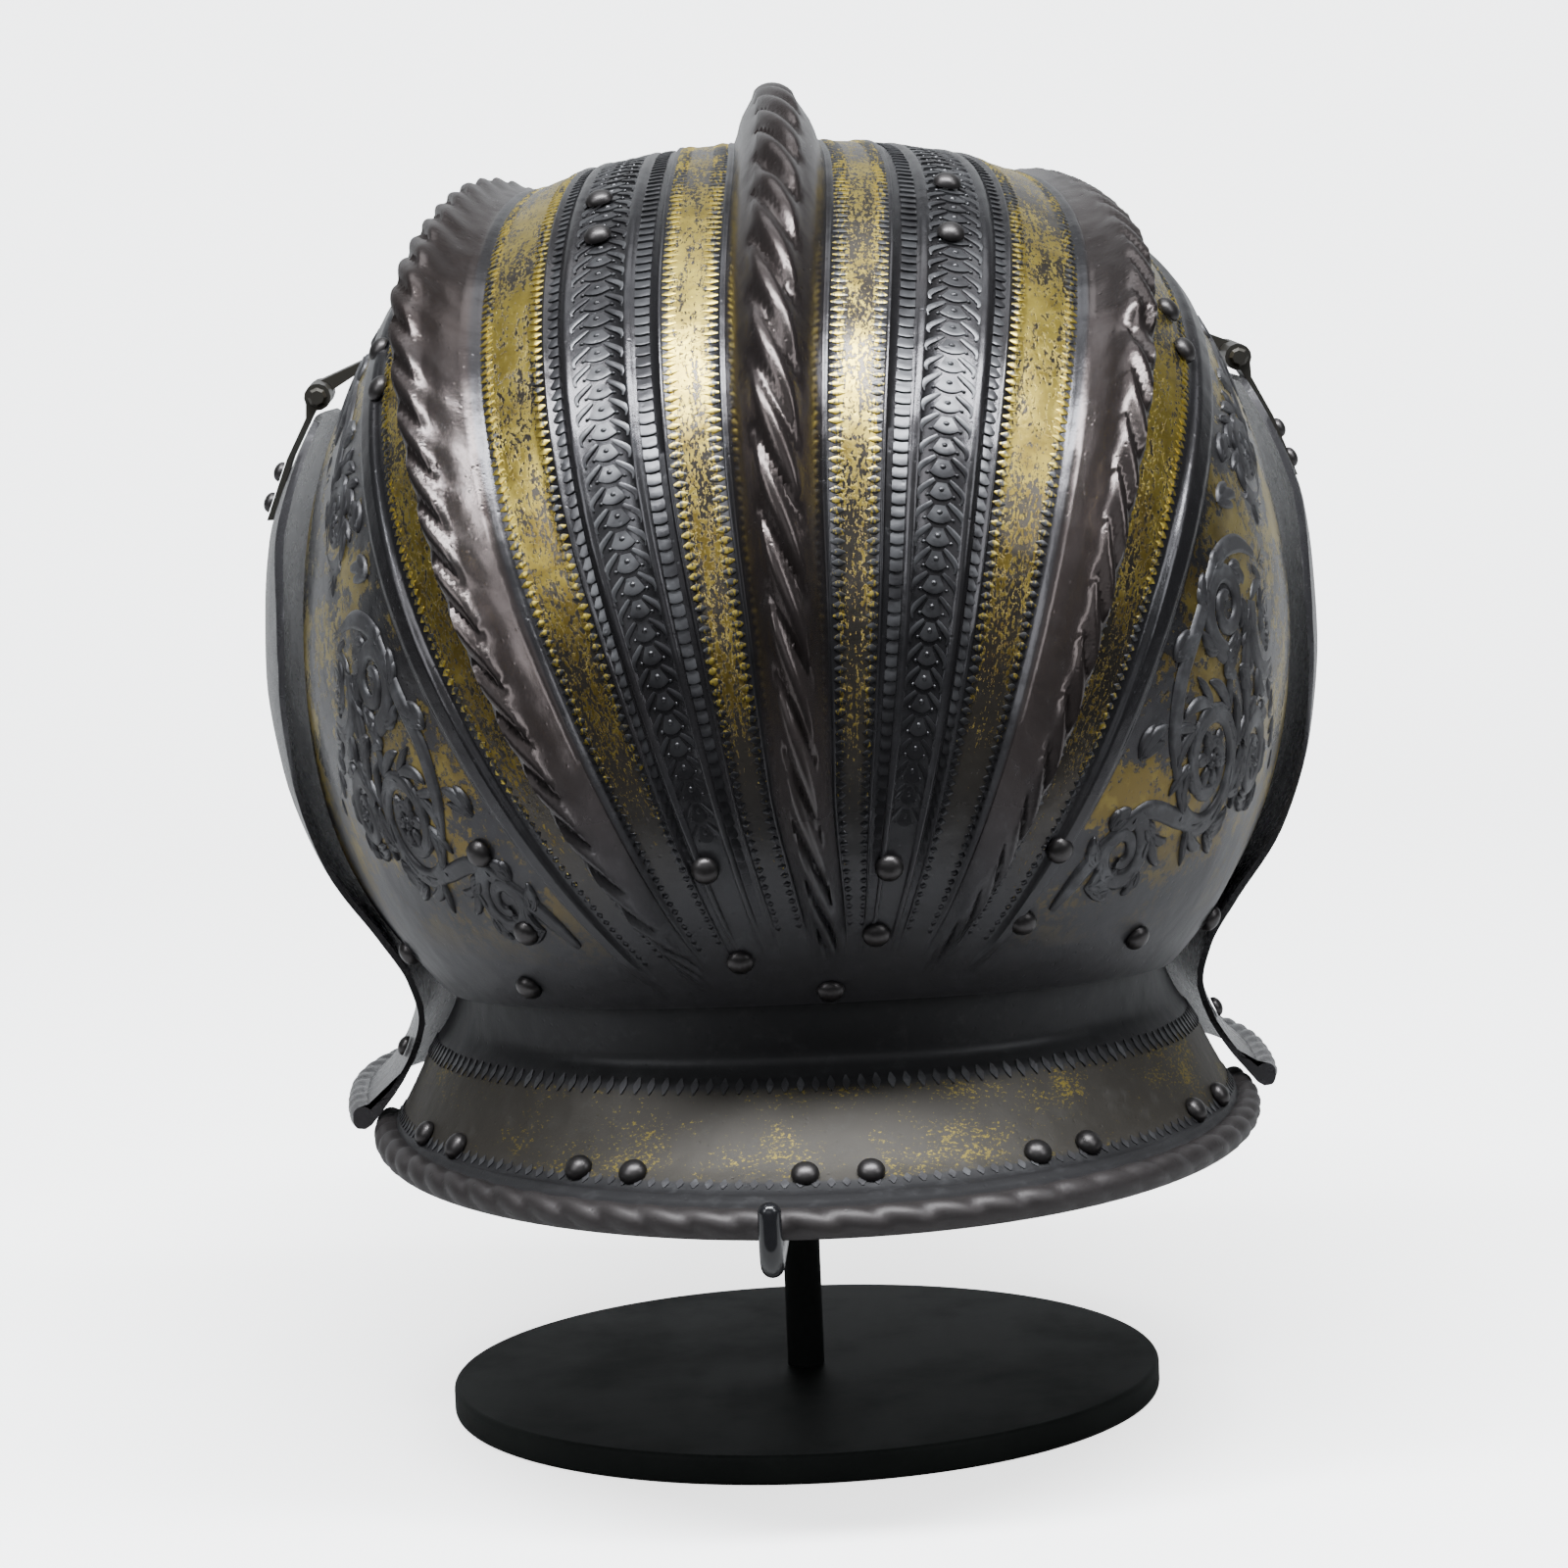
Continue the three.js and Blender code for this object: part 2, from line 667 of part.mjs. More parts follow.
function peakColumn(column) {
  const around = (2 * column / peakColumns - 1) * peakHalfAngle;
  const { polar: edge, point: onEdge } = peakEdge(around);
  const behind = skullPoint(edge - 2, around, 0);
  const downhill = onEdge.clone().sub(behind).normalize();
  const perDegree = onEdge.distanceTo(behind) / 2;
  const lap = skullPoint(edge - peakOverlap / perDegree, around, 2 * fitGap);
  const brow = onEdge.clone().addScaledVector(skullNormal(onEdge), 2 * fitGap);
  const outward = new THREE.Vector3(onEdge.x / skullHalfWidth, onEdge.y / skullFrontDepth, 0).normalize();
  const forward = outward.add(new THREE.Vector3(0, -0.9, -peakDip)).normalize();
  const widthShare = Math.min(1, Math.abs(onEdge.x) / peakHalfWidth);
  const reach = peakReach * (1 - widthShare ** 2) ** 0.7 + 3 * peakRollRadius;
  return { lap, brow, downhill, forward, reach };
}

const peakShares = [0.12, 0.4, 0.7, 0.9];
const peakRolls = [
  [110, 220],
  [60, 260],
  [5, 310],
];
const peakData = Array.from({ length: peakColumns + 1 }, (_, column) => peakColumn(column));

function peakPoint(column, row, inside) {
  const { lap, brow, downhill, forward, reach } = peakData[column];
  const up = new THREE.Vector3(-forward.x, -forward.y, 0)
    .multiplyScalar(-forward.z / Math.hypot(forward.x, forward.y));
  up.z = Math.hypot(forward.x, forward.y);
  const lift = inside ? 0 : peakThickness;
  if (row === 0) return lap.clone().addScaledVector(skullNormal(lap), lift);
  if (row === 1) return brow.clone().addScaledVector(skullNormal(brow), lift);
  const step = row - 2;
  const run = Math.max(0, reach - 2 * peakRollRadius);
  if (step < peakShares.length) {
    const share = peakShares[step];
    return brow.clone().addScaledVector(downhill, peakBrowDrop * (1 - share))
      .addScaledVector(forward, run * share)
      .addScaledVector(up, lift);
  }
  const angle = peakRolls[step - peakShares.length][inside ? 1 : 0] * deg;
  return brow.clone().addScaledVector(forward, run + peakRollRadius * (1 + Math.cos(angle)))
    .addScaledVector(up, peakRollRadius * Math.sin(angle) + peakThickness / 2);
}

addHelmetMesh('peak', plate(
  peakColumns,
  1 + peakShares.length + peakRolls.length,
  (column, row) => peakPoint(column, row, false),
  (column, row) => peakPoint(column, row, true),
), darkSteel);

// Rivets: a low dome standing a fit gap off the surface it closes on
function rivetAt(name, point, normal, radius) {
  const height = rivetHeight * radius / rivetRadius;
  const dome = lathe([
    [0, 0],
    [radius, 0],
    [radius * 0.96, height * 0.3],
    [radius * 0.68, height * 0.8],
    [0, height],
  ], 8);
  const turn = new THREE.Quaternion().setFromUnitVectors(new THREE.Vector3(0, 0, 1), normal);
  dome.applyQuaternion(turn);
  dome.translate(
    point.x + normal.x * fitGap,
    point.y + normal.y * fitGap,
    point.z + normal.z * fitGap,
  );
  addHelmetMesh(name, dome, rivetSteel);
}

function skullRivetAt(name, polar, around) {
  const point = skullPoint(polar, around, 0);
  rivetAt(`rivet_skull_${name}`, point, skullNormal(point), rivetRadius);
}

function rivetPair(name, point, normal, radius) {
  rivetAt(`${name}_left`, point, normal, radius);
  const flip = new THREE.Vector3(-1, 1, 1);
  rivetAt(`${name}_right`, point.clone().multiply(flip), normal.clone().multiply(flip), radius);
}

skullRivets.forEach(([name, leftPolar, leftAround, rightPolar, rightAround]) => {
  skullRivetAt(`${name}_left`, leftPolar, leftAround);
  skullRivetAt(`${name}_right`, rightPolar, rightAround);
});
skullRivetAt('back_middle', ...backMiddleRivet);

napeRivets.forEach(([name, angle]) => {
  const theta = angle * deg;
  const at = (turn, row) => napePoint(theta + turn, napeProfile(theta + turn).outer[row]);
  const point = at(0, napeRivetRow);
  const across = at(0.02, napeRivetRow).sub(at(-0.02, napeRivetRow));
  const down = at(0, napeRivetRow + 1).sub(at(0, napeRivetRow - 1));
  const normal = across.cross(down).normalize();
  rivetPair(`rivet_nape_${name}`, point, normal, rivetRadius);
});

const flangeAt = (share, row) => cheekPoint(share, row, cheekSection.outer[row]);
const flangePoint = flangeAt(cheekFlangeRivetShare, cheekFlangeRivetRow);
const flangeAcross = flangeAt(cheekFlangeRivetShare + 0.03, cheekFlangeRivetRow).sub(flangePoint);
const flangeDown = flangeAt(cheekFlangeRivetShare, cheekFlangeRivetRow + 1)
  .sub(flangeAt(cheekFlangeRivetShare, cheekFlangeRivetRow - 1));
const flangeNormal = flangeAcross.cross(flangeDown).normalize();
if (flangeNormal.x < 0) flangeNormal.negate();
rivetPair('rivet_cheek_flange', flangePoint, flangeNormal, smallRivetRadius);

// Rivets through the hinge leaves, halfway along each straight of the leaf
function leafRivet(name, outline, first, leafY) {
  const [ax, az] = outline[first];
  const [bx, bz] = outline[first + 1];
  const point = new THREE.Vector3((ax + bx) / 2, leafY + hingeKnuckleLength / 2, (az + bz) / 2);
  const normal = new THREE.Vector3(Math.abs(bz - az), 0, (bx - ax) * -Math.sign(bz - az)).normalize();
  rivetPair(name, point, normal, smallRivetRadius);
}

leafRivet('rivet_hinge_cheek_upper', [...lowerOuter].reverse(), 1, lowerLeafY);
leafRivet('rivet_hinge_cheek_lower', [...lowerOuter].reverse(), 2, lowerLeafY);
leafRivet('rivet_hinge_skull', upperOuter, 2, upperLeafY);

helmet.forEach((mesh) => mesh.geometry.translate(helmetShiftX, 0, 0));

// Stand
addMesh('stand_disc', lathe([
  [0, 0],
  [discRadius - discEdgeRound, 0],
  [discRadius, discEdgeRound],
  [discRadius, discThickness - discEdgeRound],
  [discRadius - discEdgeRound, discThickness],
  [0, discThickness],
], 44), standBlack);

const crownInside = skullWidestLevel + skullRise - skullThickness;
const padTop = crownInside - padSeatGap;
const padEdge = padTop - (padDomeRadius - Math.sqrt(padDomeRadius ** 2 - padRadius ** 2));
const padUnder = padEdge - padThickness;
addMesh('stand_pad', lathe([
  [0, padUnder],
  [padRadius, padUnder],
  [padRadius, padEdge],
  [padRadius * 0.6, padTop - (padDomeRadius - Math.sqrt(padDomeRadius ** 2 - (padRadius * 0.6) ** 2))],
  [0, padTop],
], 20), standBlack);
addMesh('stand_post', lathe([
  [0, discThickness + fitGap],
  [postRadius, discThickness + fitGap],
  [postRadius, padUnder - fitGap],
  [0, padUnder - fitGap],
], 16), standBlack);

// Hook: out from the post below the nape plate's rim and up behind it
const hookLevel = napeRimLevel - napeRollRadius - fitGap - hookRodRadius - hookDrop;
const hookOut = (napeRimBack + fitGap + hookRodRadius) / Math.cos(hookOffsetAngle);
const hookTop = napeRimLevel + hookTipRise - hookRodRadius;
const hookPath = new THREE.CurvePath();
const hookStart = new THREE.Vector3(0, postRadius + 2 * fitGap, hookLevel);
const hookBendFrom = new THREE.Vector3(0, hookOut - hookBendRadius, hookLevel);
const hookBendTo = new THREE.Vector3(0, hookOut, hookLevel + hookBendRadius);
hookPath.add(new THREE.LineCurve3(hookStart, hookBendFrom));
hookPath.add(new THREE.QuadraticBezierCurve3(
  hookBendFrom,
  new THREE.Vector3(0, hookOut, hookLevel),
  hookBendTo,
));
hookPath.add(new THREE.LineCurve3(hookBendTo, new THREE.Vector3(0, hookOut, hookTop)));
const rodSection = new THREE.Shape().absarc(0, 0, hookRodRadius, 0, 2 * Math.PI, false);
const hook = new THREE.ExtrudeGeometry(rodSection, {
  steps: 32,
  curveSegments: 4,
  bevelEnabled: false,
  extrudePath: hookPath,
});
hook.deleteAttribute('normal');
hook.deleteAttribute('uv');
hook.rotateZ(-hookOffsetAngle);
addMesh('stand_hook', facingOut(mergeVertices(hook, 1e-4)), hookBlack);

export default group;
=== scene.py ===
"""Parade helmet with three roped combs on a plain display stand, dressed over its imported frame.

Metres, +Z up, -Y the face side of the helmet, +X the wearer's left.
"""
import json
import math

import bpy
import numpy as np
from bpy.props import FloatProperty, FloatVectorProperty, IntProperty, PointerProperty
from mathutils import Matrix, Vector


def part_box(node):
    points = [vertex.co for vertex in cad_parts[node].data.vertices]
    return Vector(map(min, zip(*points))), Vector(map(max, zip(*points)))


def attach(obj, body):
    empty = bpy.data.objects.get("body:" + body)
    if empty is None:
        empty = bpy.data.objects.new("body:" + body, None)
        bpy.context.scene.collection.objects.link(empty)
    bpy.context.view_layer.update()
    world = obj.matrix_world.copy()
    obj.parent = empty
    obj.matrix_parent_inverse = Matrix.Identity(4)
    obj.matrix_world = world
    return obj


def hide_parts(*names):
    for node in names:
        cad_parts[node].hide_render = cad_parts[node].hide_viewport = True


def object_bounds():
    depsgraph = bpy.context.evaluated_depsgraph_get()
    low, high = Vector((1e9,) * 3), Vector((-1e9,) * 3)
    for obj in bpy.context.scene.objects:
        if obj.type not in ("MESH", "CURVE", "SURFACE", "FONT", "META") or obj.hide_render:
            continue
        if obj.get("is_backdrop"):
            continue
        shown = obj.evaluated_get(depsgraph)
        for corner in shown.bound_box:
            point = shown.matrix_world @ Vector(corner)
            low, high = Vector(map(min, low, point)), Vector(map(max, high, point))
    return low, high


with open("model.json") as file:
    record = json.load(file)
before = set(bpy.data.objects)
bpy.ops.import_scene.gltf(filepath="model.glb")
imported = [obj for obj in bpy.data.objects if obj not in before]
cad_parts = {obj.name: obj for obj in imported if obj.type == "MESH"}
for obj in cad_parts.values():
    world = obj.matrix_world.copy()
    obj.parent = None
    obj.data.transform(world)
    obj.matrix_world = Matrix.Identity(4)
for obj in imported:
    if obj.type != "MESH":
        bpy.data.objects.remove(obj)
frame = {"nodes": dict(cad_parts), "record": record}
cad_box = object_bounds()

bl_info = {
    "name": "Parade helmet on a display stand",
    "version": (1, 0, 0),
    "blender": (4, 5, 0),
    "location": "View3D > Sidebar > Helmet",
    "description": "Builds a roped and gilded parade helmet and its stand over a fixed frame",
    "category": "Object",
}

ROOT = "helmet_and_stand"
SIDES = (("left", 1), ("right", -1))

# Combs: angle from the rear pole and share of the full height
CENTRE_COMB_RUN = ((25, 0), (36, 0.5), (52, 1), (125, 1), (145, 0.5), (160, 0))
SIDE_COMB_RUN = (
    (26, 0), (38, 0.55), (56, 1), (75, 0.95), (90, 0.8), (106, 0.44), (130, 0.22), (152, 0),
)
# Combs' section: angle from the crest, share of the height outside and in the hollow
CENTRE_COMB_SECTION = (
    (-3.8, 0, 0), (-2.7, 0.5, 0.02), (-1.5, 0.87, 0.6), (0, 1, 0.78),
    (1.5, 0.87, 0.6), (2.7, 0.5, 0.02), (3.8, 0, 0),
)
SIDE_COMB_SECTION = (
    (-2.9, 0, 0), (-1.3, 0.4, 0.12), (-0.2, 0.92, 0.62), (1.2, 0.96, 0.68), (2.4, 0.45, 0.06),
    (3.5, 0, 0),
)
# Fine ribs along the skull: angle from the middle, half width in degrees, share of the rib height
RIBS = (
    (3.95, 0.22, 0.5), (8.55, 0.2, 0.6), (11.05, 0.44, 0.8), (15.75, 0.52, 1.0), (17.5, 0.2, 0.7),
    (23.5, 0.36, 0.8), (29.25, 0.2, 0.7),
)
# Rows of teeth: angle from the middle, length in degrees, lowest angle from the rear pole
TOOTH_ROWS = (
    (4.75, 1.3, 31), (7.85, 1.2, 31), (18.25, 1.15, 31), (22.55, 1.15, 31),
    (30.2, 1.05, 32), (34.0, 1.05, 32),
)
TONGUE_ROWS = ((9.85, 1.15, 33), (16.85, 0.8, 33))
LINK_ROW = (13.35, 4.1, 41)
# Nape plate: flare and drop behind, flare and drop at the sides, turn into the rim's ellipse
NAPE_ROWS = (
    (0, -0.18, -0.04, -0.26, 0), (-0.01, 0.03, 0, 0, 0), (-0.065, 0.3, 0.17, 0.23, 0.12),
    (0.013, 0.384, 0.28, 0.32, 0.2), (0.093, 0.423, 0.36, 0.38, 0.3),
    (0.398, 0.709, 0.66, 0.7, 0.7), (0.557, 0.833, 0.78, 0.82, 0.85),
    (0.716, 0.913, 0.86, 0.89, 0.95), (0.862, 0.944, 0.93, 0.94, 1),
)
# Cheekpieces: height, way out from the waist, reach back and forward, share of the widest place
CHEEK_ROWS = (
    (1, 0.55, 0.1, 0.33, 1), (0.941, 0.706, 0.17, 0.4, 1), (0.829, 0.922, 0.28, 0.48, 1),
    (0.734, 0.98, 0.345, 0.57, 1), (0.628, 1, 0.355, 0.67, 1), (0.496, 0.902, 0.33, 0.77, 0.8),
    (0.364, 0.648, 0.28, 0.85, 0.6), (0.266, 0.287, 0.235, 0.87, 0.43),
    (0.196, 0.067, 0.235, 0.87, 0.43), (0.144, 0, 0.233, 0.87, 0.43),
    (0.091, 0.17, 0.23, 0.87, 0.43), (0.038, 0.541, 0.225, 0.87, 0.43),
)
CHEEK_WAIST_HEIGHT = 0.144


def metres(name, description, default):
    return FloatProperty(
        name=name, description=description, default=default, unit="LENGTH", precision=5)


def share(name, description, default):
    return FloatProperty(name=name, description=description, default=default, precision=3)


def degrees(name, description, default):
    return FloatProperty(
        name=name, description=description + ", in degrees", default=default, precision=2)


def colour(name, description, default):
    return FloatVectorProperty(
        name=name, description=description, default=default, subtype="COLOR", size=3,
        min=0, max=1)


class SkullSizes(bpy.types.PropertyGroup):
    half_width: metres("Half width", "Half width of the skull without its combs", 0.104)
    back_depth: metres("Back depth", "From the widest place to the back", 0.124)
    front_depth: metres("Front depth", "From the widest place to the brow", 0.118)
    rise: metres("Rise", "From the widest level to the crown", 0.107)
    drop: metres("Drop", "Depth of the form below its widest level", 0.1)
    widest_level: metres("Widest level", "Height of the widest place", 0.172)
    side_fullness: share("Side fullness", "Power of the skull's plan and cross section", 2.45)
    profile_fullness: share("Profile fullness", "Power of the skull's profile", 2.15)
    thickness: metres("Thickness", "Thickness of the plate", 0.0015)
    shift: metres("Shift", "Helmet's middle plane from the post", -0.004)
    rear_pole_depth: share("Rear pole depth", "Rear pole as a share of the back depth", 0.766)
    rear_pole_drop: share("Rear pole drop", "Rear pole as a share of the drop", 1.1)
    front_pole_depth: share("Front pole depth", "Front pole as a share of the depth", 0.949)
    front_pole_rise: share("Front pole rise", "Front pole as a share of the rise", 0.168)
    neck_edge_drop: share("Neck edge drop", "Neck edge as a share of the drop", 0.75)
    neck_edge_slope: share("Neck edge slope", "Rise of the neck edge to the back", 0.088)
    face_edge_forward: share("Face edge", "Start of the face edge, share of the depth", 0.04)
    face_edge_slope: share("Face edge slope", "Slope of the edge at the face", -0.936)
    side_angle: degrees("Side angle", "How far the plate goes round", 100)
    fan_lean: degrees("Fan lean", "Bow of the fan to the wearer's left", 2.7)
    fan_lean_start: degrees("Lean start", "Where the bow starts", 112)
    fan_lean_full: degrees("Lean full", "Where the bow is full", 62)
    fan_lean_width: degrees("Lean width", "How far out the bow reaches", 75)
    tip_bend: degrees("Tip bend", "Bend of the centre comb's tip", 3.2)


class CombSizes(bpy.types.PropertyGroup):
    centre_height: metres("Centre height", "Greatest height of the centre comb", 0.013)
    side_height: metres("Side height", "Greatest height of a side comb", 0.013)
    side_angle: degrees("Side comb angle", "Side combs' angle from the middle", 26)
    centre_pitch: metres("Centre strands", "Spacing of the centre rope's strands", 0.0146)
    side_pitch: metres("Side strands", "Spacing of the side ropes' strands", 0.0108)
    centre_twist: metres("Centre twist", "Run of a strand along the comb per degree", 0.0056)
    side_twist: metres("Side twist", "Run of a side strand per degree", 0.006)
    groove: metres("Groove", "Depth of the grooves between strands", 0.0025)
    rope_angle: degrees("Rope angle", "Half width of the centre rope", 1.8)
    shoulder: share("Shoulder", "Height at which the centre rope begins", 0.74)
    left_bulge: metres("Left bulge", "Rise of the left comb high on the skull", 0.0052)


class OrnamentSizes(bpy.types.PropertyGroup):
    rib_height: metres("Rib height", "Height of the fine ribs", 0.0008)
    tooth_spacing: metres("Tooth spacing", "Spacing of the teeth along a band", 0.0021)
    tongue_spacing: metres("Tongue spacing", "Spacing of the tongues", 0.0027)
    link_spacing: metres("Link spacing", "Spacing of the leaf links", 0.0047)
    panel_edge: degrees("Panel edge", "Angle where the scroll panel starts", 38)
    panel_floor: metres("Panel floor", "Height of the line below the scroll panel", 0.1145)
    scroll_height: metres("Scroll height", "Height of the scrolls' relief", 0.0008)
    fillet_height: metres("Fillet height", "Height of the ridge beside a panel", 0.0013)
    panel_fullness: metres("Panel fullness", "Swelling of the side panels", 0.0032)
    trough_depth: metres("Trough depth", "Depth of the leaf rows' ground", 0.0004)
    dent_depth: metres("Dent depth", "Depth of the dent in the right comb", 0.0026)
    dent_lip: metres("Dent lip", "Height of the metal pushed up beside the dent", 0.0009)
    knock_depth: metres("Knock depth", "Depth of the knock in the centre rope", 0.0011)
    seed: IntProperty(name="Seed", description="Seed of the hand-made unevenness", default=7)


class NapeSizes(bpy.types.PropertyGroup):
    rim_half_width: metres("Rim half width", "Half width over the rolled rim", 0.0972)
    rim_back: metres("Rim back", "How far back the rim reaches", 0.135)
    rim_level: metres("Rim level", "Height of the rim's roll", 0.0675)
    centre_y: metres("Centre", "Centre of the plan, toward the back", 0.015)
    roll_radius: metres("Roll radius", "Radius of the rolled rim", 0.0033)
    thickness: metres("Thickness", "Thickness of the plate", 0.0014)
    end_angle: degrees("End angle", "How far the plate goes round", 96)
    strand_pitch: metres("Strands", "Spacing of the rim's strands", 0.0098)
    inset: metres("Inset", "How far the plate stands inside the skull", 0.0022)


class CheekSizes(bpy.types.PropertyGroup):
    stand_off: metres("Stand off", "How far the cheekpiece stands off the skull", 0.0135)
    waist_stand_off: metres("Waist stand off", "Stand off at the neck", 0.0081)
    rim_stand_off: metres("Rim stand off", "Stand off from the nape plate's rim", 0.0038)
    top_level: metres("Top level", "Height of the cheekpiece's top", 0.222)
    rim_level: metres("Rim level", "Height of the rolled lower edge", 0.0707)
    widest_forward: metres("Widest place", "Widest place before the post", 0.028)
    rear_reach: metres("Rear reach", "Scale of the reach back", 0.126)
    front_trim: metres("Front trim", "Trim of the reach forward", 0.010)
    fullness: share("Fullness", "Power of the plan", 2.3)
    thickness: metres("Thickness", "Thickness of the plate", 0.0015)
    roll_radius: metres("Roll radius", "Radius of the rolled edge", 0.0026)
    strand_pitch: metres("Strands", "Spacing of the roll's strands", 0.008)


class PeakSizes(bpy.types.PropertyGroup):
    half_angle: degrees("Half angle", "Half of the peak's spread", 80)
    reach: metres("Reach", "How far the peak reaches forward", 0.044)
    brow_drop: metres("Brow drop", "Drop of the peak below the brow", 0.0015)
    outline_share: share("Outline share", "Where the outline would close", 1.05)
    thickness: metres("Thickness", "Thickness of the plate", 0.0015)
    overlap: metres("Overlap", "Lap over the skull", 0.006)
    dip: share("Dip", "How steeply the peak dips", 0.22)
    roll_radius: metres("Roll radius", "Radius of the rolled edge", 0.0024)
    fit_gap: metres("Fit gap", "Gap between pieces", 0.00035)


class StandSizes(bpy.types.PropertyGroup):
    edge_round: metres("Edge round", "Rounding of the disc's edges", 0.0012)
    rod_radius: metres("Hook radius", "Radius of the hook's rod", 0.00235)
    bend_radius: metres("Hook bend", "Radius of the hook's bend", 0.006)
    pad_dome: metres("Pad dome", "Radius of the pad's dome", 0.08)


class FinishColours(bpy.types.PropertyGroup):
    steel: colour("Steel", "Blackened steel", (0.041, 0.04, 0.043))
    russet: colour("Russet steel", "Browned steel of the combs", (0.056, 0.044, 0.041))
    worn: colour("Worn steel", "Rubbed high places", (0.14, 0.143, 0.15))
    gold: colour("Gold", "Gilding", (0.5, 0.385, 0.075))
    old_gold: colour("Old gold", "Stained gilding", (0.19, 0.135, 0.03))
    stand: colour("Stand", "Satin black paint", (0.0095, 0.0105, 0.0098))
    hook: colour("Hook", "Glossy black sleeve", (0.008, 0.008, 0.009))
    floor: colour("Floor", "Pale floor", (0.84, 0.84, 0.84))


class StageSettings(bpy.types.PropertyGroup):
    distance: metres("Distance", "Camera from the stand's axis", 1.15)
    height: metres("Height", "Camera above the floor", 0.2915)
    turn: degrees("Turn", "Camera's turn to the wearer's left", 2)
    pitch: degrees("Pitch", "Camera's tilt down", 7.6)
    roll: degrees("Roll", "Camera's roll", 2.4)
    lens: FloatProperty(name="Lens", description="Focal length in mm", default=120.4)


class HelmetSettings(bpy.types.PropertyGroup):
    skull: PointerProperty(name="Skull", type=SkullSizes)
    combs: PointerProperty(name="Combs", type=CombSizes)
    ornament: PointerProperty(name="Ornament", type=OrnamentSizes)
    nape: PointerProperty(name="Nape plate", type=NapeSizes)
    cheek: PointerProperty(name="Cheekpieces", type=CheekSizes)
    peak: PointerProperty(name="Peak", type=PeakSizes)
    stand: PointerProperty(name="Stand", type=StandSizes)
    colours: PointerProperty(name="Colours", type=FinishColours)
    stage: PointerProperty(name="Stage", type=StageSettings)


def settings():
    return bpy.context.scene.parade_helmet


# Curves and small sums

def smooth(start, end, value):
    part = np.clip((value - start) / (end - start), 0, 1)
    return part * part * (3 - 2 * part)


def mix(a, b, part):
    return a + (b - a) * part


def through(table, at, field=1):
    """A smooth curve through a table's points that never overshoots them."""
    xs = np.array([row[0] for row in table], float)
    ys = np.array([row[field] for row in table], float)
    at = np.clip(np.asarray(at, float), xs[0], xs[-1])
    step = np.diff(xs)
    rise = np.diff(ys) / step
    slope = np.zeros_like(ys)
    for i in range(1, len(xs) - 1):
        if rise[i - 1] * rise[i] > 0:
            before = 2 * step[i] + step[i - 1]
            after = step[i] + 2 * step[i - 1]
            slope[i] = (before + after) / (before / rise[i - 1] + after / rise[i])
    i = np.clip(np.searchsorted(xs, at, side="right") - 1, 0, len(xs) - 2)
    t = (at - xs[i]) / step[i]
    return ((1 + 2 * t) * (1 - t) ** 2 * ys[i] + t * (1 - t) ** 2 * step[i] * slope[i]
            + t * t * (3 - 2 * t) * ys[i + 1] - t * t * (1 - t) * step[i] * slope[i + 1])


def by_row(rows, at, field):
    """A field of a table of rows, smooth between them, at fractional row numbers."""
    return through([(i, row[field]) for i, row in enumerate(rows)], at)


def unit(vectors):
    return vectors / np.linalg.norm(vectors, axis=-1, keepdims=True)


def strand(phase):
    """Rounded strands of a rope: 1 on a strand's back, 0 in the groove."""
    part = phase - np.floor(phase)
    return 1 - np.abs(2 * part - 1) ** 2.0


def stepped(*stops):
    """Values from stop to stop; each stop is a value and the step that follows it."""
    values = []
    for (start, step), (end, _) in zip(stops, stops[1:]):
        count = max(1, round((end - start) / step))
        values += list(np.linspace(start, end, count, endpoint=False))
    return np.array(values + [stops[-1][0]])


# The skull's form

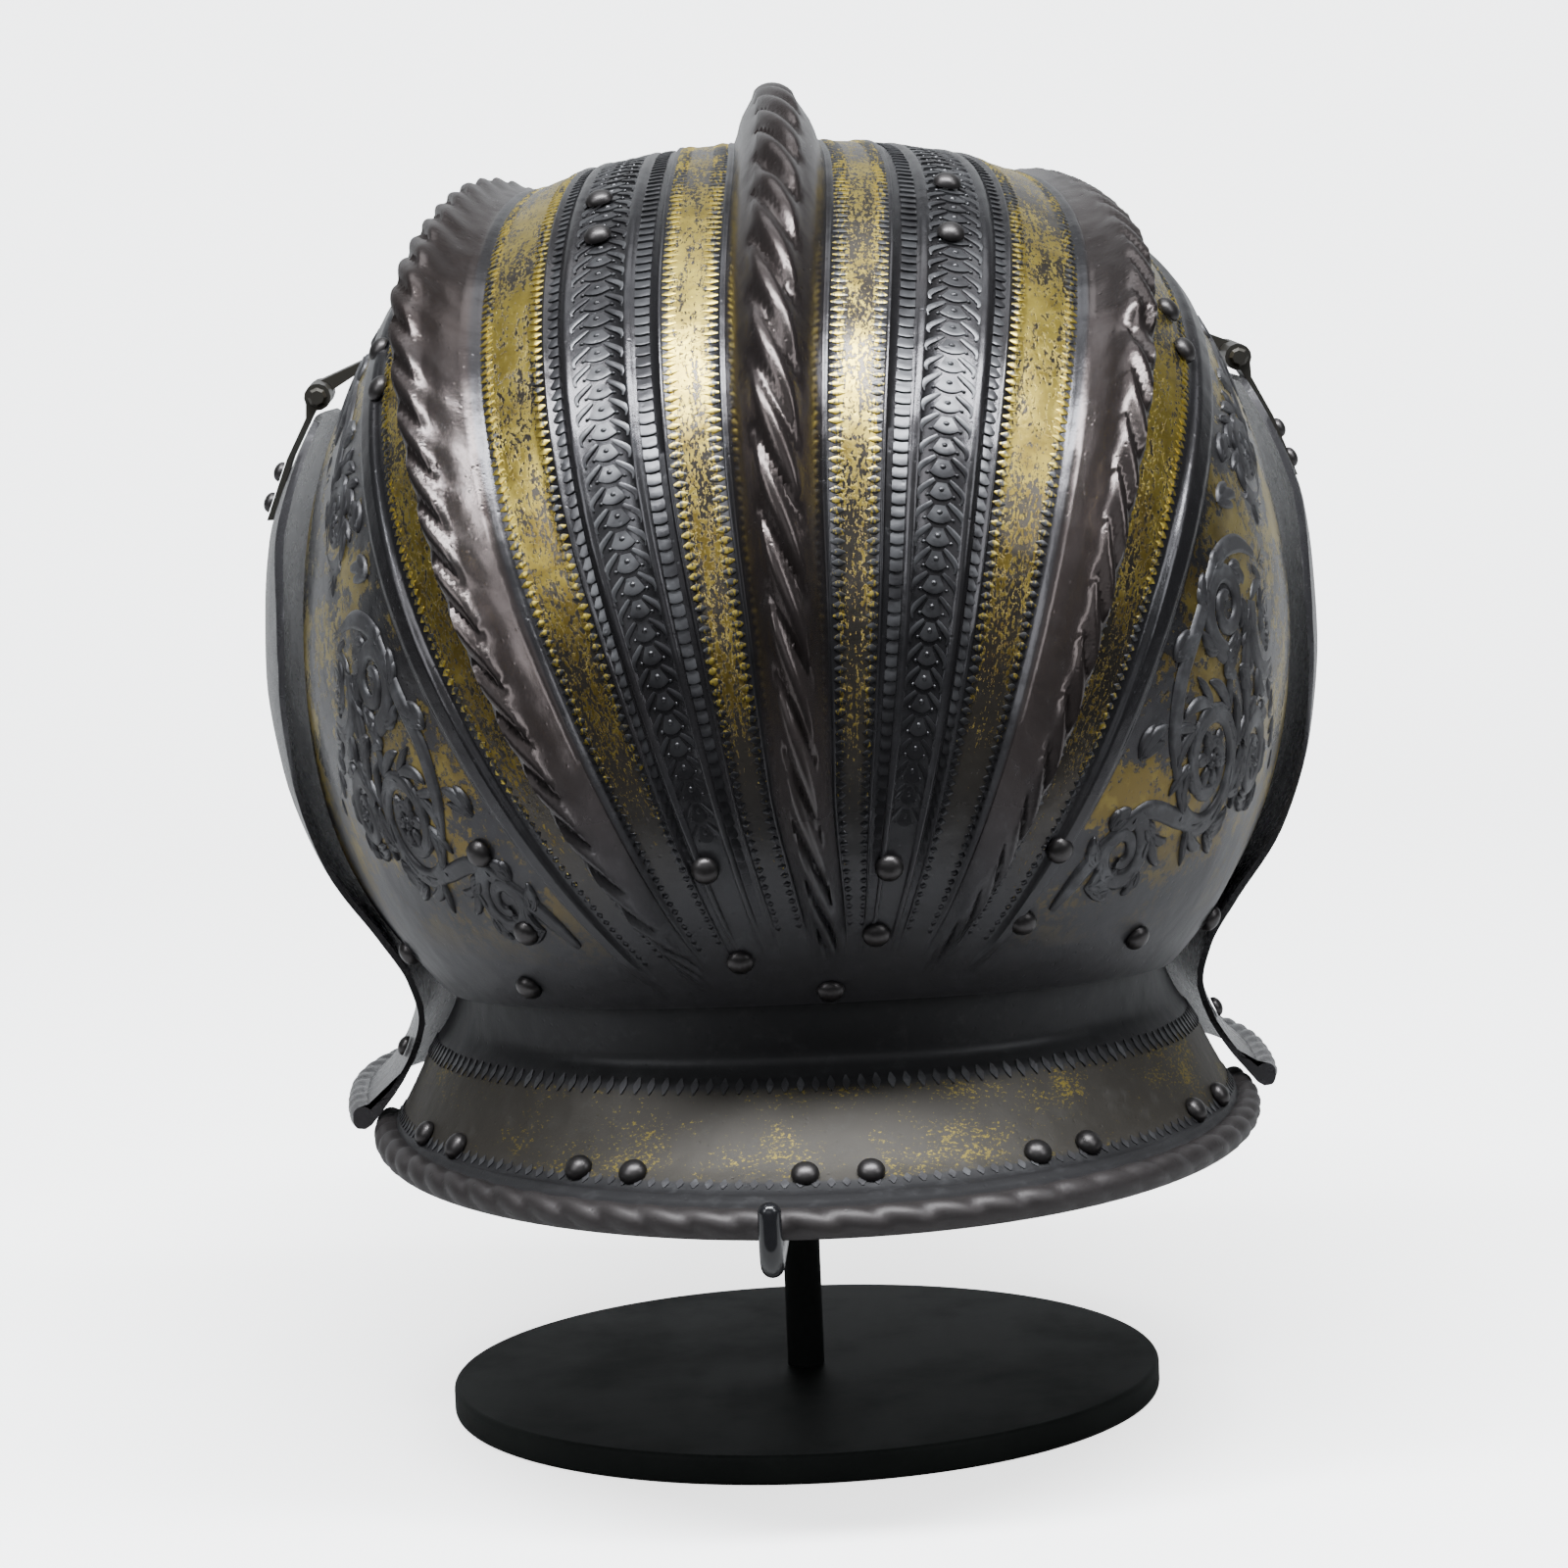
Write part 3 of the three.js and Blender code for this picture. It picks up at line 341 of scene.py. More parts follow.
class SkullForm:
    """The skull by its angle from the rear pole and its angle about the axis of the poles."""

    def __init__(self):
        s = self.s = settings().skull
        self.combs = settings().combs
        self.ornament = settings().ornament
        self.rear = np.array([0, s.rear_pole_depth * s.back_depth,
                              s.widest_level - s.rear_pole_drop * s.drop])
        self.front = np.array([0, -s.front_pole_depth * s.front_depth,
                               s.widest_level + s.front_pole_rise * s.rise])
        self.axis = unit(self.front - self.rear)
        self.up = np.array([0, self.axis[2], -self.axis[1]])
        self.middle = (self.rear + self.front) / 2
        self.neck_level = s.widest_level - s.neck_edge_drop * s.drop
        self.face_start = s.face_edge_forward * s.back_depth
        run = np.linspace(20, 165, 400)
        self.runs = {}
        for angle in (0, 1, -1):
            crest = self.place(run, np.full_like(run, angle * self.combs.side_angle), 0)
            steps = np.linalg.norm(np.diff(crest, axis=0), axis=1)
            self.runs[angle] = (run, np.concatenate([[0], np.cumsum(steps)]))

    def level(self, p):
        s = self.s
        depth = np.where(p[..., 1] > 0, s.back_depth, s.front_depth)
        height = np.where(p[..., 2] > s.widest_level, s.rise, s.drop)
        profile = (np.abs(p[..., 1] / depth) ** s.profile_fullness
                   + np.abs((p[..., 2] - s.widest_level) / height) ** s.profile_fullness)
        return (np.abs(p[..., 0] / s.half_width) ** s.side_fullness
                + profile ** (s.side_fullness / s.profile_fullness) - 1)

    def normal(self, p):
        parts = []
        for i in range(3):
            step = np.zeros(3)
            step[i] = 5e-5
            parts.append(self.level(p + step) - self.level(p - step))
        return unit(np.stack(parts, -1))

    def surface(self, polar, around):
        polar, around = np.radians(polar), np.radians(around)
        radial = (np.cos(around)[..., None] * self.up
                  + np.sin(around)[..., None] * np.array([1.0, 0, 0]))
        way = radial * np.sin(polar)[..., None] - self.axis * np.cos(polar)[..., None]
        near = np.zeros(way.shape[:-1])
        far = np.full(way.shape[:-1], 3 * self.s.back_depth)
        for _ in range(32):
            half = (near + far) / 2
            inside = self.level(self.middle + way * half[..., None]) < 0
            near = np.where(inside, half, near)
            far = np.where(inside, far, half)
        return self.middle + way * near[..., None]

    def lean(self, polar, around):
        s = self.s
        width = 1 - smooth(s.fan_lean_width * 0.55, s.fan_lean_width, np.abs(around))
        bow = s.fan_lean * (1 - smooth(s.fan_lean_full, s.fan_lean_start, polar)) * width
        tip = (1 - smooth(3, 14, np.abs(around))) * (1 - smooth(24, 44, polar))
        return bow - s.tip_bend * tip

    def place(self, polar, around, lift):
        """Points on the skull in the frame, lifted off its plain surface."""
        polar, around = np.broadcast_arrays(np.asarray(polar, float), np.asarray(around, float))
        p = self.surface(polar, around + self.lean(polar, around))
        p = p + self.normal(p) * np.asarray(lift)[..., None]
        return p + np.array([self.s.shift, 0, 0])

    def out(self, points):
        return self.normal(points - np.array([self.s.shift, 0, 0]))

    def angles(self, points):
        """The angles of points near the skull, with the fan's lean taken off."""
        v = points - np.array([self.s.shift, 0, 0]) - self.middle
        along, high, side = v @ self.axis, v @ self.up, v[..., 0]
        polar = np.degrees(np.arctan2(np.hypot(side, high), -along))
        leaned = np.degrees(np.arctan2(side, high))
        around = leaned
        for _ in range(25):
            around = around + 0.8 * (leaned - around - self.lean(polar, around))
        return polar, around

    def per_degree(self, polar, around):
        """Metres per degree about the pole axis."""
        p = self.surface(polar, around) - self.middle
        return np.hypot(p[..., 0], p @ self.up) * math.pi / 180

    def edge(self, around, test, off, on):
        off = np.full(np.shape(around), float(off))
        on = np.full(np.shape(around), float(on))
        for _ in range(26):
            half = (off + on) / 2
            inside = test(self.surface(half, around + self.lean(half, around))) >= 0
            on = np.where(inside, half, on)
            off = np.where(inside, off, half)
        return on

    def edges(self, around):
        s = self.s
        neck = self.edge(
            around, lambda p: p[..., 2] - self.neck_level - s.neck_edge_slope * p[..., 1], 4, 90)
        face = self.edge(
            around, lambda p: p[..., 2] - self.neck_level
            - s.face_edge_slope * (p[..., 1] - self.face_start), 176, 78)
        return neck, face

    def comb_lift(self, polar, around, field=1):
        c = self.combs
        side = np.abs(around) - c.side_angle
        centre = through(CENTRE_COMB_SECTION, around, field)
        if field == 1:
            wide = np.abs(around)
            crown = np.sqrt(np.clip(1 - (wide / c.rope_angle) ** 2, 0, 1))
            rope = c.shoulder + (1 - c.shoulder) * crown
            flank = np.clip(c.shoulder - 0.3 * (wide - c.rope_angle), 0, 1)
            centre = np.where(wide < c.rope_angle, rope, np.minimum(centre, flank))
        centre = centre * through(CENTRE_COMB_RUN, polar)
        outer = through(SIDE_COMB_RUN, polar) * through(SIDE_COMB_SECTION, side, field)
        bulge = smooth(72, 94, polar) * (1 - smooth(112, 134, polar)) * (around > 0)
        left = c.left_bulge * bulge * through(SIDE_COMB_SECTION, side, field)
        return c.centre_height * centre + c.side_height * outer + left

    def grooves(self, polar, around):
        """Grooves between the strands of the three ropes, as a depth."""
        c = self.combs
        ends = smooth(26, 31, polar) * (1 - smooth(148, 158, polar))
        run = np.interp(polar, *self.runs[0])
        centre = 1 - strand((run - around * c.centre_twist) / c.centre_pitch)
        cut = centre * (1 - smooth(1.6, 1.9, np.abs(around)))
        for sign in (1, -1):
            run = np.interp(polar, *self.runs[sign])
            off = sign * around - c.side_angle
            fade = smooth(-1.9, 0.1, off) if sign > 0 else smooth(-0.9, 0.0, off)
            side = 1 - strand((run - around * c.side_twist) / c.side_pitch)
            cut = cut + 0.7 * side * fade * (1 - smooth(1.6, 2.6, off))
        return c.groove * cut * ends

    def relief(self, polar, around):
        """Everything raised or sunk in the skull's own plate."""
        o = self.ornament
        wide = np.abs(around)
        lift = self.comb_lift(polar, around) - self.grooves(polar, around)
        fade = smooth(27.5, 33, polar)
        for angle, half, high in RIBS:
            lift = lift + o.rib_height * high * fade * np.sqrt(
                np.clip(1 - ((wide - angle) / half) ** 2, 0, 1))
        fillet = smooth(34.85, 35.5, wide) * (1 - smooth(37.0, 37.8, wide))
        lift = lift + o.fillet_height * fillet * fade
        lift = lift + o.panel_fullness * smooth(40, 62, wide) * smooth(66, 88, polar) * (
            1 - smooth(104, 124, polar))
        trough = smooth(8.6, 9.0, wide) * (1 - smooth(17.0, 17.4, wide))
        lift = lift - o.trough_depth * trough * smooth(34, 40, polar)
        dent = np.exp(-((polar - 82.5) / 1.7) ** 2 - ((around + 26.3) / 1.3) ** 2)
        ridge = np.exp(-((polar - 84.6) / 0.8) ** 2 - ((around + 26.0) / 1.4) ** 2)
        knock = np.exp(-((polar - 93.5) / 1.6) ** 2 - ((around - 0.8) / 1.2) ** 2)
        return lift - o.dent_depth * dent + o.dent_lip * ridge - o.knock_depth * knock


# Meshes

def finished(obj, body, slot, *nodes):
    """Puts a finished piece on its body and hides the frame nodes that it stands for; the slot is
    not used.
    """
    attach(obj, body)
    if nodes:
        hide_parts(*nodes)
    return obj


def mesh_piece(name, points, faces, material, marks=None, values=None, sharp=None):
    """A mesh object; marks are a UV pair for each point and values are float attributes."""
    mesh = bpy.data.meshes.new(name)
    mesh.from_pydata(np.asarray(points).tolist(), [], [list(map(int, f)) for f in faces])
    mesh.update()
    if marks is not None:
        layer = mesh.uv_layers.new(name="Bands")
        corner = np.empty(len(mesh.loops), int)
        mesh.loops.foreach_get("vertex_index", corner)
        layer.data.foreach_set("uv", np.asarray(marks, float)[corner].ravel())
    for key, data in (values or {}).items():
        mesh.attributes.new(key, "FLOAT", "POINT").data.foreach_set("value", np.ravel(data))
    mesh.shade_smooth()
    if sharp:
        mesh.set_sharp_from_angle(angle=math.radians(sharp))
    mesh.materials.append(material)
    obj = bpy.data.objects.new(name, mesh)
    bpy.context.collection.objects.link(obj)
    return obj


def volume(points, faces):
    total = 0.0
    for face in faces:
        a = points[face[0]]
        for i in range(1, len(face) - 1):
            total += np.dot(a, np.cross(points[face[i]], points[face[i + 1]]))
    return total


def plate(outer, inner, rows, columns):
    """A closed plate: a fine grid outside, and inside the grid's picked rows and columns."""
    high, wide = outer.shape[:2]
    index = np.arange(high * wide).reshape(high, wide)
    low = high * wide + np.arange(len(rows) * len(columns)).reshape(len(rows), len(columns))
    grid = lambda g: np.stack(
        [g[:-1, :-1], g[:-1, 1:], g[1:, 1:], g[1:, :-1]], -1).reshape(-1, 4)
    faces = [list(f) for f in grid(index)] + [list(f)[::-1] for f in grid(low)]
    for k in range(len(columns) - 1):
        a, b = columns[k], columns[k + 1]
        faces.append([*index[0, a:b + 1][::-1], low[0, k], low[0, k + 1]])
        faces.append([*index[-1, a:b + 1], low[-1, k + 1], low[-1, k]])
    for k in range(len(rows) - 1):
        a, b = rows[k], rows[k + 1]
        faces.append([*index[a:b + 1, 0], low[k + 1, 0], low[k, 0]])
        faces.append([*index[a:b + 1, -1][::-1], low[k, -1], low[k + 1, -1]])
    points = np.concatenate([outer.reshape(-1, 3), inner.reshape(-1, 3)])
    if volume(points, faces) < 0:
        faces = [f[::-1] for f in faces]
    return points, faces


def picked(count, step):
    picks = list(range(0, count - 1, step))
    return picks + [count - 1]


def swept(points, sides, outs, profile):
    """A closed strip: a ring of (side, out) offsets carried along points, with capped ends."""
    ring = np.asarray(profile, float)
    if ring.ndim == 2:
        ring = np.repeat(ring[None], len(points), 0)
    body = (points[:, None] + sides[:, None] * ring[..., :1] + outs[:, None] * ring[..., 1:])
    count, around = ring.shape[:2]
    index = np.arange(count * around).reshape(count, around)
    after = np.roll(index, -1, axis=1)
    faces = np.stack([index[:-1], after[:-1], after[1:], index[1:]], -1).reshape(-1, 4).tolist()
    faces += [index[0][::-1].tolist(), index[-1].tolist()]
    flat = body.reshape(-1, 3)
    if volume(flat, faces) < 0:
        faces = [f[::-1] for f in faces]
    return flat, faces


def joined(parts):
    """Several (points, faces) as one."""
    points, faces, start = [], [], 0
    for p, f in parts:
        points.append(p)
        faces += [[i + start for i in face] for face in f]
        start += len(p)
    return np.concatenate(points), faces


def turned(profile, centre, segments=96):
    """A solid turned about a vertical line from (radius, height) points on the axis at both ends."""
    angles = np.linspace(0, 2 * math.pi, segments, endpoint=False)
    points = [np.array([[centre[0], centre[1], profile[0][1]]])]
    for radius, z in profile[1:-1]:
        points.append(np.stack([centre[0] + radius * np.cos(angles),
                                centre[1] + radius * np.sin(angles),
                                np.full(segments, z)], -1))
    points.append(np.array([[centre[0], centre[1], profile[-1][1]]]))
    faces = []
    rings = len(profile) - 2
    last = 1 + rings * segments
    for k in range(segments):
        n = (k + 1) % segments
        faces.append([0, 1 + n, 1 + k])
        for r in range(rings - 1):
            a, b = 1 + r * segments, 1 + (r + 1) * segments
            faces.append([a + k, a + n, b + n, b + k])
        a = 1 + (rings - 1) * segments
        faces.append([a + k, a + n, last])
    flat = np.concatenate(points)
    if volume(flat, faces) < 0:
        faces = [f[::-1] for f in faces]
    return flat, faces


def skull_marks(form, points):
    polar, around = form.angles(points)
    return np.stack([around / 360 + 0.5, polar / 180], -1)


# Rows of small shapes along a path, made with Geometry Nodes

def link(tree, source, target, out=0):
    tree.links.new(source.outputs[out], target)


def row_tree(name, along_path):
    """Stands a shape on the points of a path, or on loose points, facing each point's out."""
    tree = bpy.data.node_groups.new(name, "GeometryNodeTree")
    sockets = {}
    for label, kind in (("Path", "Geometry"), ("Spacing", "Float"), ("Shape", "Object"),
                        ("Finish", "Material"), ("Unevenness", "Float"), ("Seed", "Int")):
        made = tree.interface.new_socket(
            name=label, in_out="INPUT", socket_type="NodeSocket" + kind)
        sockets[label] = made.identifier
    tree.interface.new_socket(
        name="Row", in_out="OUTPUT", socket_type="NodeSocketGeometry")
    node = tree.nodes.new
    given, result = node("NodeGroupInput"), node("NodeGroupOutput")
    shape = node("GeometryNodeObjectInfo")
    link(tree, given, shape.inputs["Object"], "Shape")
    out, size = node("GeometryNodeInputNamedAttribute"), node("GeometryNodeInputNamedAttribute")
    for item, key in ((out, "out"), (size, "size")):
        item.data_type = "FLOAT_VECTOR"
        item.inputs["Name"].default_value = key
    stand = node("FunctionNodeAlignRotationToVector")
    stand.axis = "Z"
    link(tree, out, stand.inputs["Vector"])
    uneven = node("FunctionNodeRandomValue")
    uneven.data_type = "FLOAT_VECTOR"
    less, more = node("ShaderNodeMath"), node("ShaderNodeMath")
    less.operation, more.operation = "SUBTRACT", "ADD"
    less.inputs[0].default_value = more.inputs[0].default_value = 1
    link(tree, given, less.inputs[1], "Unevenness")
    link(tree, given, more.inputs[1], "Unevenness")
    link(tree, less, uneven.inputs["Min"])
    link(tree, more, uneven.inputs["Max"])
    link(tree, given, uneven.inputs["Seed"], "Seed")
    scale = node("ShaderNodeVectorMath")
    scale.operation = "MULTIPLY"
    link(tree, size, scale.inputs[0])
    link(tree, uneven, scale.inputs[1])
    place = node("GeometryNodeInstanceOnPoints")
    if along_path:
        curve, even = node("GeometryNodeMeshToCurve"), node("GeometryNodeResampleCurve")
        even.mode = "LENGTH"
        link(tree, given, curve.inputs["Mesh"], "Path")
        link(tree, curve, even.inputs["Curve"])
        link(tree, given, even.inputs["Length"], "Spacing")
        face = node("FunctionNodeAlignRotationToVector")
        face.axis, face.pivot_axis = "Y", "Z"
        link(tree, stand, face.inputs["Rotation"])
        link(tree, node("GeometryNodeInputTangent"), face.inputs["Vector"])
        link(tree, even, place.inputs["Points"])
        link(tree, face, place.inputs["Rotation"])
    else:
        link(tree, given, place.inputs["Points"], "Path")
        link(tree, stand, place.inputs["Rotation"])
    link(tree, shape, place.inputs["Instance"], "Geometry")
    link(tree, scale, place.inputs["Scale"])
    real, paint = node("GeometryNodeRealizeInstances"), node("GeometryNodeSetMaterial")
    link(tree, place, real.inputs["Geometry"])
    link(tree, real, paint.inputs["Geometry"])
    link(tree, given, paint.inputs["Material"], "Finish")
    link(tree, paint, result.inputs["Row"])
    return tree, sockets


def row_piece(name, tree, rows, shape, material, spacing=0.003, uneven=0.06):
    """One plain mesh of the shape repeated along rows of (points, outs, sizes)."""
    group, sockets = tree
    points = np.concatenate([row[0] for row in rows])
    edges, start = [], 0
    for row in rows:
        edges += [(start + i, start + i + 1) for i in range(len(row[0]) - 1)]
        start += len(row[0])
    path = bpy.data.meshes.new(name + "_path")
    path.from_pydata(points.tolist(), edges if spacing else [], [])
    for key, field in (("out", 1), ("size", 2)):
        data = np.concatenate([np.broadcast_to(row[field], row[0].shape) for row in rows])
        path.attributes.new(key, "FLOAT_VECTOR", "POINT").data.foreach_set(
            "vector", data.astype(float).ravel())
    guide = bpy.data.objects.new(name + "_path", path)
    bpy.context.collection.objects.link(guide)
    stamp = mesh_piece(name + "_shape", *shape, material)
    modifier = guide.modifiers.new("Rows", "NODES")
    modifier.node_group = group
    for label, value in (("Spacing", float(spacing or 1)), ("Shape", stamp),
                         ("Finish", material), ("Unevenness", float(uneven)),
                         ("Seed", settings().ornament.seed)):
        modifier[sockets[label]] = value
    depsgraph = bpy.context.evaluated_depsgraph_get()
    mesh = bpy.data.meshes.new_from_object(guide.evaluated_get(depsgraph))
    if not len(mesh.polygons):
        raise RuntimeError(name + " came out empty")
    mesh.materials.clear()
    mesh.materials.append(material)
    mesh.name = name
    mesh.shade_smooth()
    mesh.set_sharp_from_angle(angle=math.radians(50))
    obj = bpy.data.objects.new(name, mesh)
    bpy.context.collection.objects.link(obj)
    bpy.data.objects.remove(guide)
    bpy.data.objects.remove(stamp)
    return obj


def add_skull_marks(form, obj):
    mesh = obj.data
    points = np.empty(len(mesh.vertices) * 3)
    mesh.vertices.foreach_get("co", points)
    marks = skull_marks(form, points.reshape(-1, 3))
    corner = np.empty(len(mesh.loops), int)
    mesh.loops.foreach_get("vertex_index", corner)
    layer = mesh.uv_layers.new(name="Bands")
    layer.data.foreach_set("uv", marks[corner].ravel())


def dome(radius, height, segments=18, rings=6):
    profile = [(0, 0)] + [(radius, 0), (radius, height * 0.12)] + [
        (radius * math.cos(t), height * (0.12 + 0.88 * math.sin(t)))
        for t in np.linspace(0.12, math.pi / 2 * 0.93, rings)] + [(0, height)]
    return turned(profile, (0, 0), segments)


def tooth_shape():
    """A short tooth pointed at both ends, 1 long across X, 1 wide along Y and 1 high."""
    x = np.array([-0.5, -0.08, 0.08, 0.5])
    points = np.stack([x, 0 * x, 0 * x], -1)
    wide = np.array([0.1, 0.5, 0.5, 0.1])
    high = np.array([0.2, 1.0, 1.0, 0.2])
    ring = [[(-w, -0.3), (-w * 0.8, h * 0.62), (0, h), (w * 0.8, h * 0.62), (w, -0.3)]
            for w, h in zip(wide, high)]
    return swept(points, np.tile([0, 1.0, 0], (4, 1)), np.tile([0, 0, 1.0], (4, 1)), ring)


def block(top, foot=-0.3):
    """A closed block under a grid of points."""
    high, wide = top.shape[:2]
    index = np.arange(high * wide).reshape(high, wide)
    border = np.concatenate([index[0], index[1:, -1], index[-1, -2::-1], index[-2:0:-1, 0]])
    flat = top.reshape(-1, 3)
    below = flat[border] * np.array([1, 1, 0]) + np.array([0, 0, foot])
    low = len(flat) + np.arange(len(border))
    faces = np.stack(
        [index[:-1, :-1], index[:-1, 1:], index[1:, 1:], index[1:, :-1]], -1).reshape(-1, 4)
    skirt = np.stack([np.roll(border, -1), border, low, np.roll(low, -1)], -1)
    faces = faces.tolist() + skirt.tolist() + [low[::-1].tolist()]
    points = np.concatenate([flat, below])
    if volume(points, faces) < 0:
        faces = [f[::-1] for f in faces]
    return points, faces


def tongue_shape():
    """A tile that rises to its lower, slightly rounded edge; 1 wide, 1 along, 1 high."""
    x = np.linspace(-0.5, 0.5, 5)[None]
    t = np.array([0, 0.4, 0.8, 0.96])[:, None]
    y = mix(0.54, -0.38 - 0.12 * (1 - (2 * x) ** 2), t)
    z = through(((0, 0.05), (0.4, 0.42), (0.8, 1), (0.96, 0.94)), t) * (1 - 0.3 * (2 * x) ** 4)
    return block(np.stack(np.broadcast_arrays(x, y, z), -1))


def flat_stroke(line, widths, heights, ring=None):
    """A relief stroke in the XY plane, pointed where its width falls away."""
    line = np.asarray(line, float)
    tangent = unit(np.gradient(line, axis=0))
    side = np.stack([-tangent[:, 1], tangent[:, 0], 0 * line[:, 0]], -1)
    points = np.stack([line[:, 0], line[:, 1], 0 * line[:, 0]], -1)
    ring = ring or ((-0.5, -0.25), (-0.42, 0.7), (0, 1), (0.42, 0.7), (0.5, -0.25))
    rings = [[(a * w, b * h if b > 0 else b * max(heights)) for a, b in ring]
             for w, h in zip(widths, heights)]
    return swept(points, side, np.tile([0, 0, 1.0], (len(line), 1)), rings)


def link_shape():
    """A fan with an eye and curled corners between two bowed arms; drawn on 9 by 4.7."""
    across = np.linspace(-1, 1, 7)[None]
    t = np.array([0, 0.45, 0.85, 1.0])[:, None]
    x = across * mix(0.9, 2.25, t)
    y = mix(2.0, -0.75, t) - 1.0 * t * (1 - across ** 2)
    z = through(((0, 0.1), (0.45, 0.35), (0.85, 0.8), (1.0, 0.65)), t) * (1 - 0.25 * across ** 4)
    parts = [block(np.stack(np.broadcast_arrays(x, y, z), -1))]
    for side, y, radius, high in ((0, 0.5, 0.6, 1.1), (-2.5, -0.9, 0.36, 0.8),
                                  (2.5, -0.9, 0.36, 0.8)):
        points, faces = dome(radius, high, 9, 3)
        parts.append((points + np.array([side, y, 0]), faces))
    t = np.linspace(0, 5, 11)
    swell = through(((0, 0.55), (1, 0.8), (2.5, 1), (4, 0.8), (5, 0.35)), t)
    for side in (-1, 1):
        line = np.stack([side * through(((0, 1.45), (1, 2.1), (2, 3.0), (3, 3.9), (4, 4.4),
                                         (5, 4.0)), t),
                         through(((0, 2.5), (1, 1.9), (2, 1.0), (3, 0.0), (4, -1.2),
                                  (5, -2.1)), t)], -1)
        parts.append(flat_stroke(line, 1.3 * swell, 0.3 + 0.75 * swell))
    points, faces = joined(parts)
    return points / np.array([9.0, 4.7, 1.0]), faces


# Materials

class Value:
    """A socket of a material's tree, with arithmetic."""

    def __init__(self, socket):
        self.socket = socket

    def math(self, operation, *terms):
        node = self.socket.id_data.nodes.new("ShaderNodeMath")
        node.operation = operation
        for slot, term in zip(node.inputs, terms):
            wire(slot, term)
        return Value(node.outputs[0])

    def __add__(self, other):
        return self.math("ADD", self, other)

    def __radd__(self, other):
        return self.math("ADD", other, self)

    def __sub__(self, other):
        return self.math("SUBTRACT", self, other)

    def __rsub__(self, other):
        return self.math("SUBTRACT", other, self)

    def __mul__(self, other):
        return self.math("MULTIPLY", self, other)

    def __rmul__(self, other):
        return self.math("MULTIPLY", other, self)

    def __truediv__(self, other):
        return self.math("DIVIDE", self, other)

    def __pow__(self, other):
        return self.math("POWER", self, other)

    def __abs__(self):
        return self.math("ABSOLUTE", self)

    def least(self, other):
        return self.math("MINIMUM", self, other)

    def over(self, start, end):
        """0 below start, 1 above end and smooth between them; downhill where start is higher."""
        node = self.socket.id_data.nodes.new("ShaderNodeMapRange")
        node.interpolation_type = "SMOOTHSTEP"
        wire(node.inputs["Value"], self)
        for key, value in (("From Min", min(start, end)), ("From Max", max(start, end)),
                           ("To Min", float(start > end)), ("To Max", float(start <= end))):
            node.inputs[key].default_value = value
        return Value(node.outputs[0])

    def within(self, start, end, soft=0.05):
        return self.over(start - soft, start + soft) * self.over(end + soft, end - soft)


def wire(slot, value):
    if isinstance(value, Value):
        slot.id_data.links.new(value.socket, slot)
    elif hasattr(value, "__len__") and slot.type == "RGBA" and len(value) == 3:
        slot.default_value = (*value, 1)
    else:
        slot.default_value = value


class Finish:
    """A procedural metal or paint, and the nodes it is made of."""

    def __init__(self, name):
        self.material = bpy.data.materials.new(name)
        self.material.use_nodes = True
        self.tree = self.material.node_tree
        self.tree.nodes.clear()

    def node(self, kind, choices, inputs, output=0):
        made = self.tree.nodes.new(kind)
        for key, value in choices.items():
            if key == "stops":
                ramp = made.color_ramp
                for stop, (at, shade) in zip(range(len(value)), value):
                    item = ramp.elements[stop] if stop < 2 else ramp.elements.new(at)
                    item.position, item.color = at, (*shade, 1)
            else:
                setattr(made, key, value)
        for key, value in inputs.items():
            wire(made.inputs[key], value)
        return Value(made.outputs[output]) if made.outputs else None

    def place(self, stretch=(1, 1, 1)):
        """Object coordinates, stretched."""
        point = self.node("ShaderNodeTexCoord", {}, {}, "Object")
        return self.node("ShaderNodeMapping", {}, {"Vector": point, "Scale": stretch})

    def noise(self, where, scale, detail=4.0, rough=0.6, twist=0.0):
        return self.node("ShaderNodeTexNoise", {}, {
            "Vector": where, "Scale": scale, "Detail": detail, "Roughness": rough,
            "Distortion": twist})

    def cells(self, where, scale):
        return self.node("ShaderNodeTexVoronoi", {}, {"Vector": where, "Scale": scale})

    def blend(self, part, under, over):
        return self.node("ShaderNodeMix", {"data_type": "RGBA"}, {
            0: part, 6: under, 7: over}, 2)

    def bump(self, height, distance, strength=1.0, under=None):
        inputs = {"Height": height, "Distance": distance, "Strength": strength}
        if under is not None:
            inputs["Normal"] = under
        return self.node("ShaderNodeBump", {}, inputs)

    def done(self, shade, rough, metal, normal=None, shine=0.5):
        inputs = {"Base Color": shade, "Roughness": rough, "Metallic": metal,
                  "Specular IOR Level": shine}
        if normal is not None:
            inputs["Normal"] = normal
        surface = self.node("ShaderNodeBsdfPrincipled", {}, inputs)
        self.node("ShaderNodeOutputMaterial", {}, {"Surface": surface})
        return self.material


def band_angles(f):
    """The angle from the middle, the same unsigned, and the angle from the rear pole."""
    mark = f.node("ShaderNodeUVMap", {"uv_map": "Bands"}, {})
    split = f.node("ShaderNodeSeparateXYZ", {}, {"Vector": mark})
    polar = Value(split.socket.node.outputs["Y"]) * 180
    around = (split - 0.5) * 360
    return around, abs(around), polar


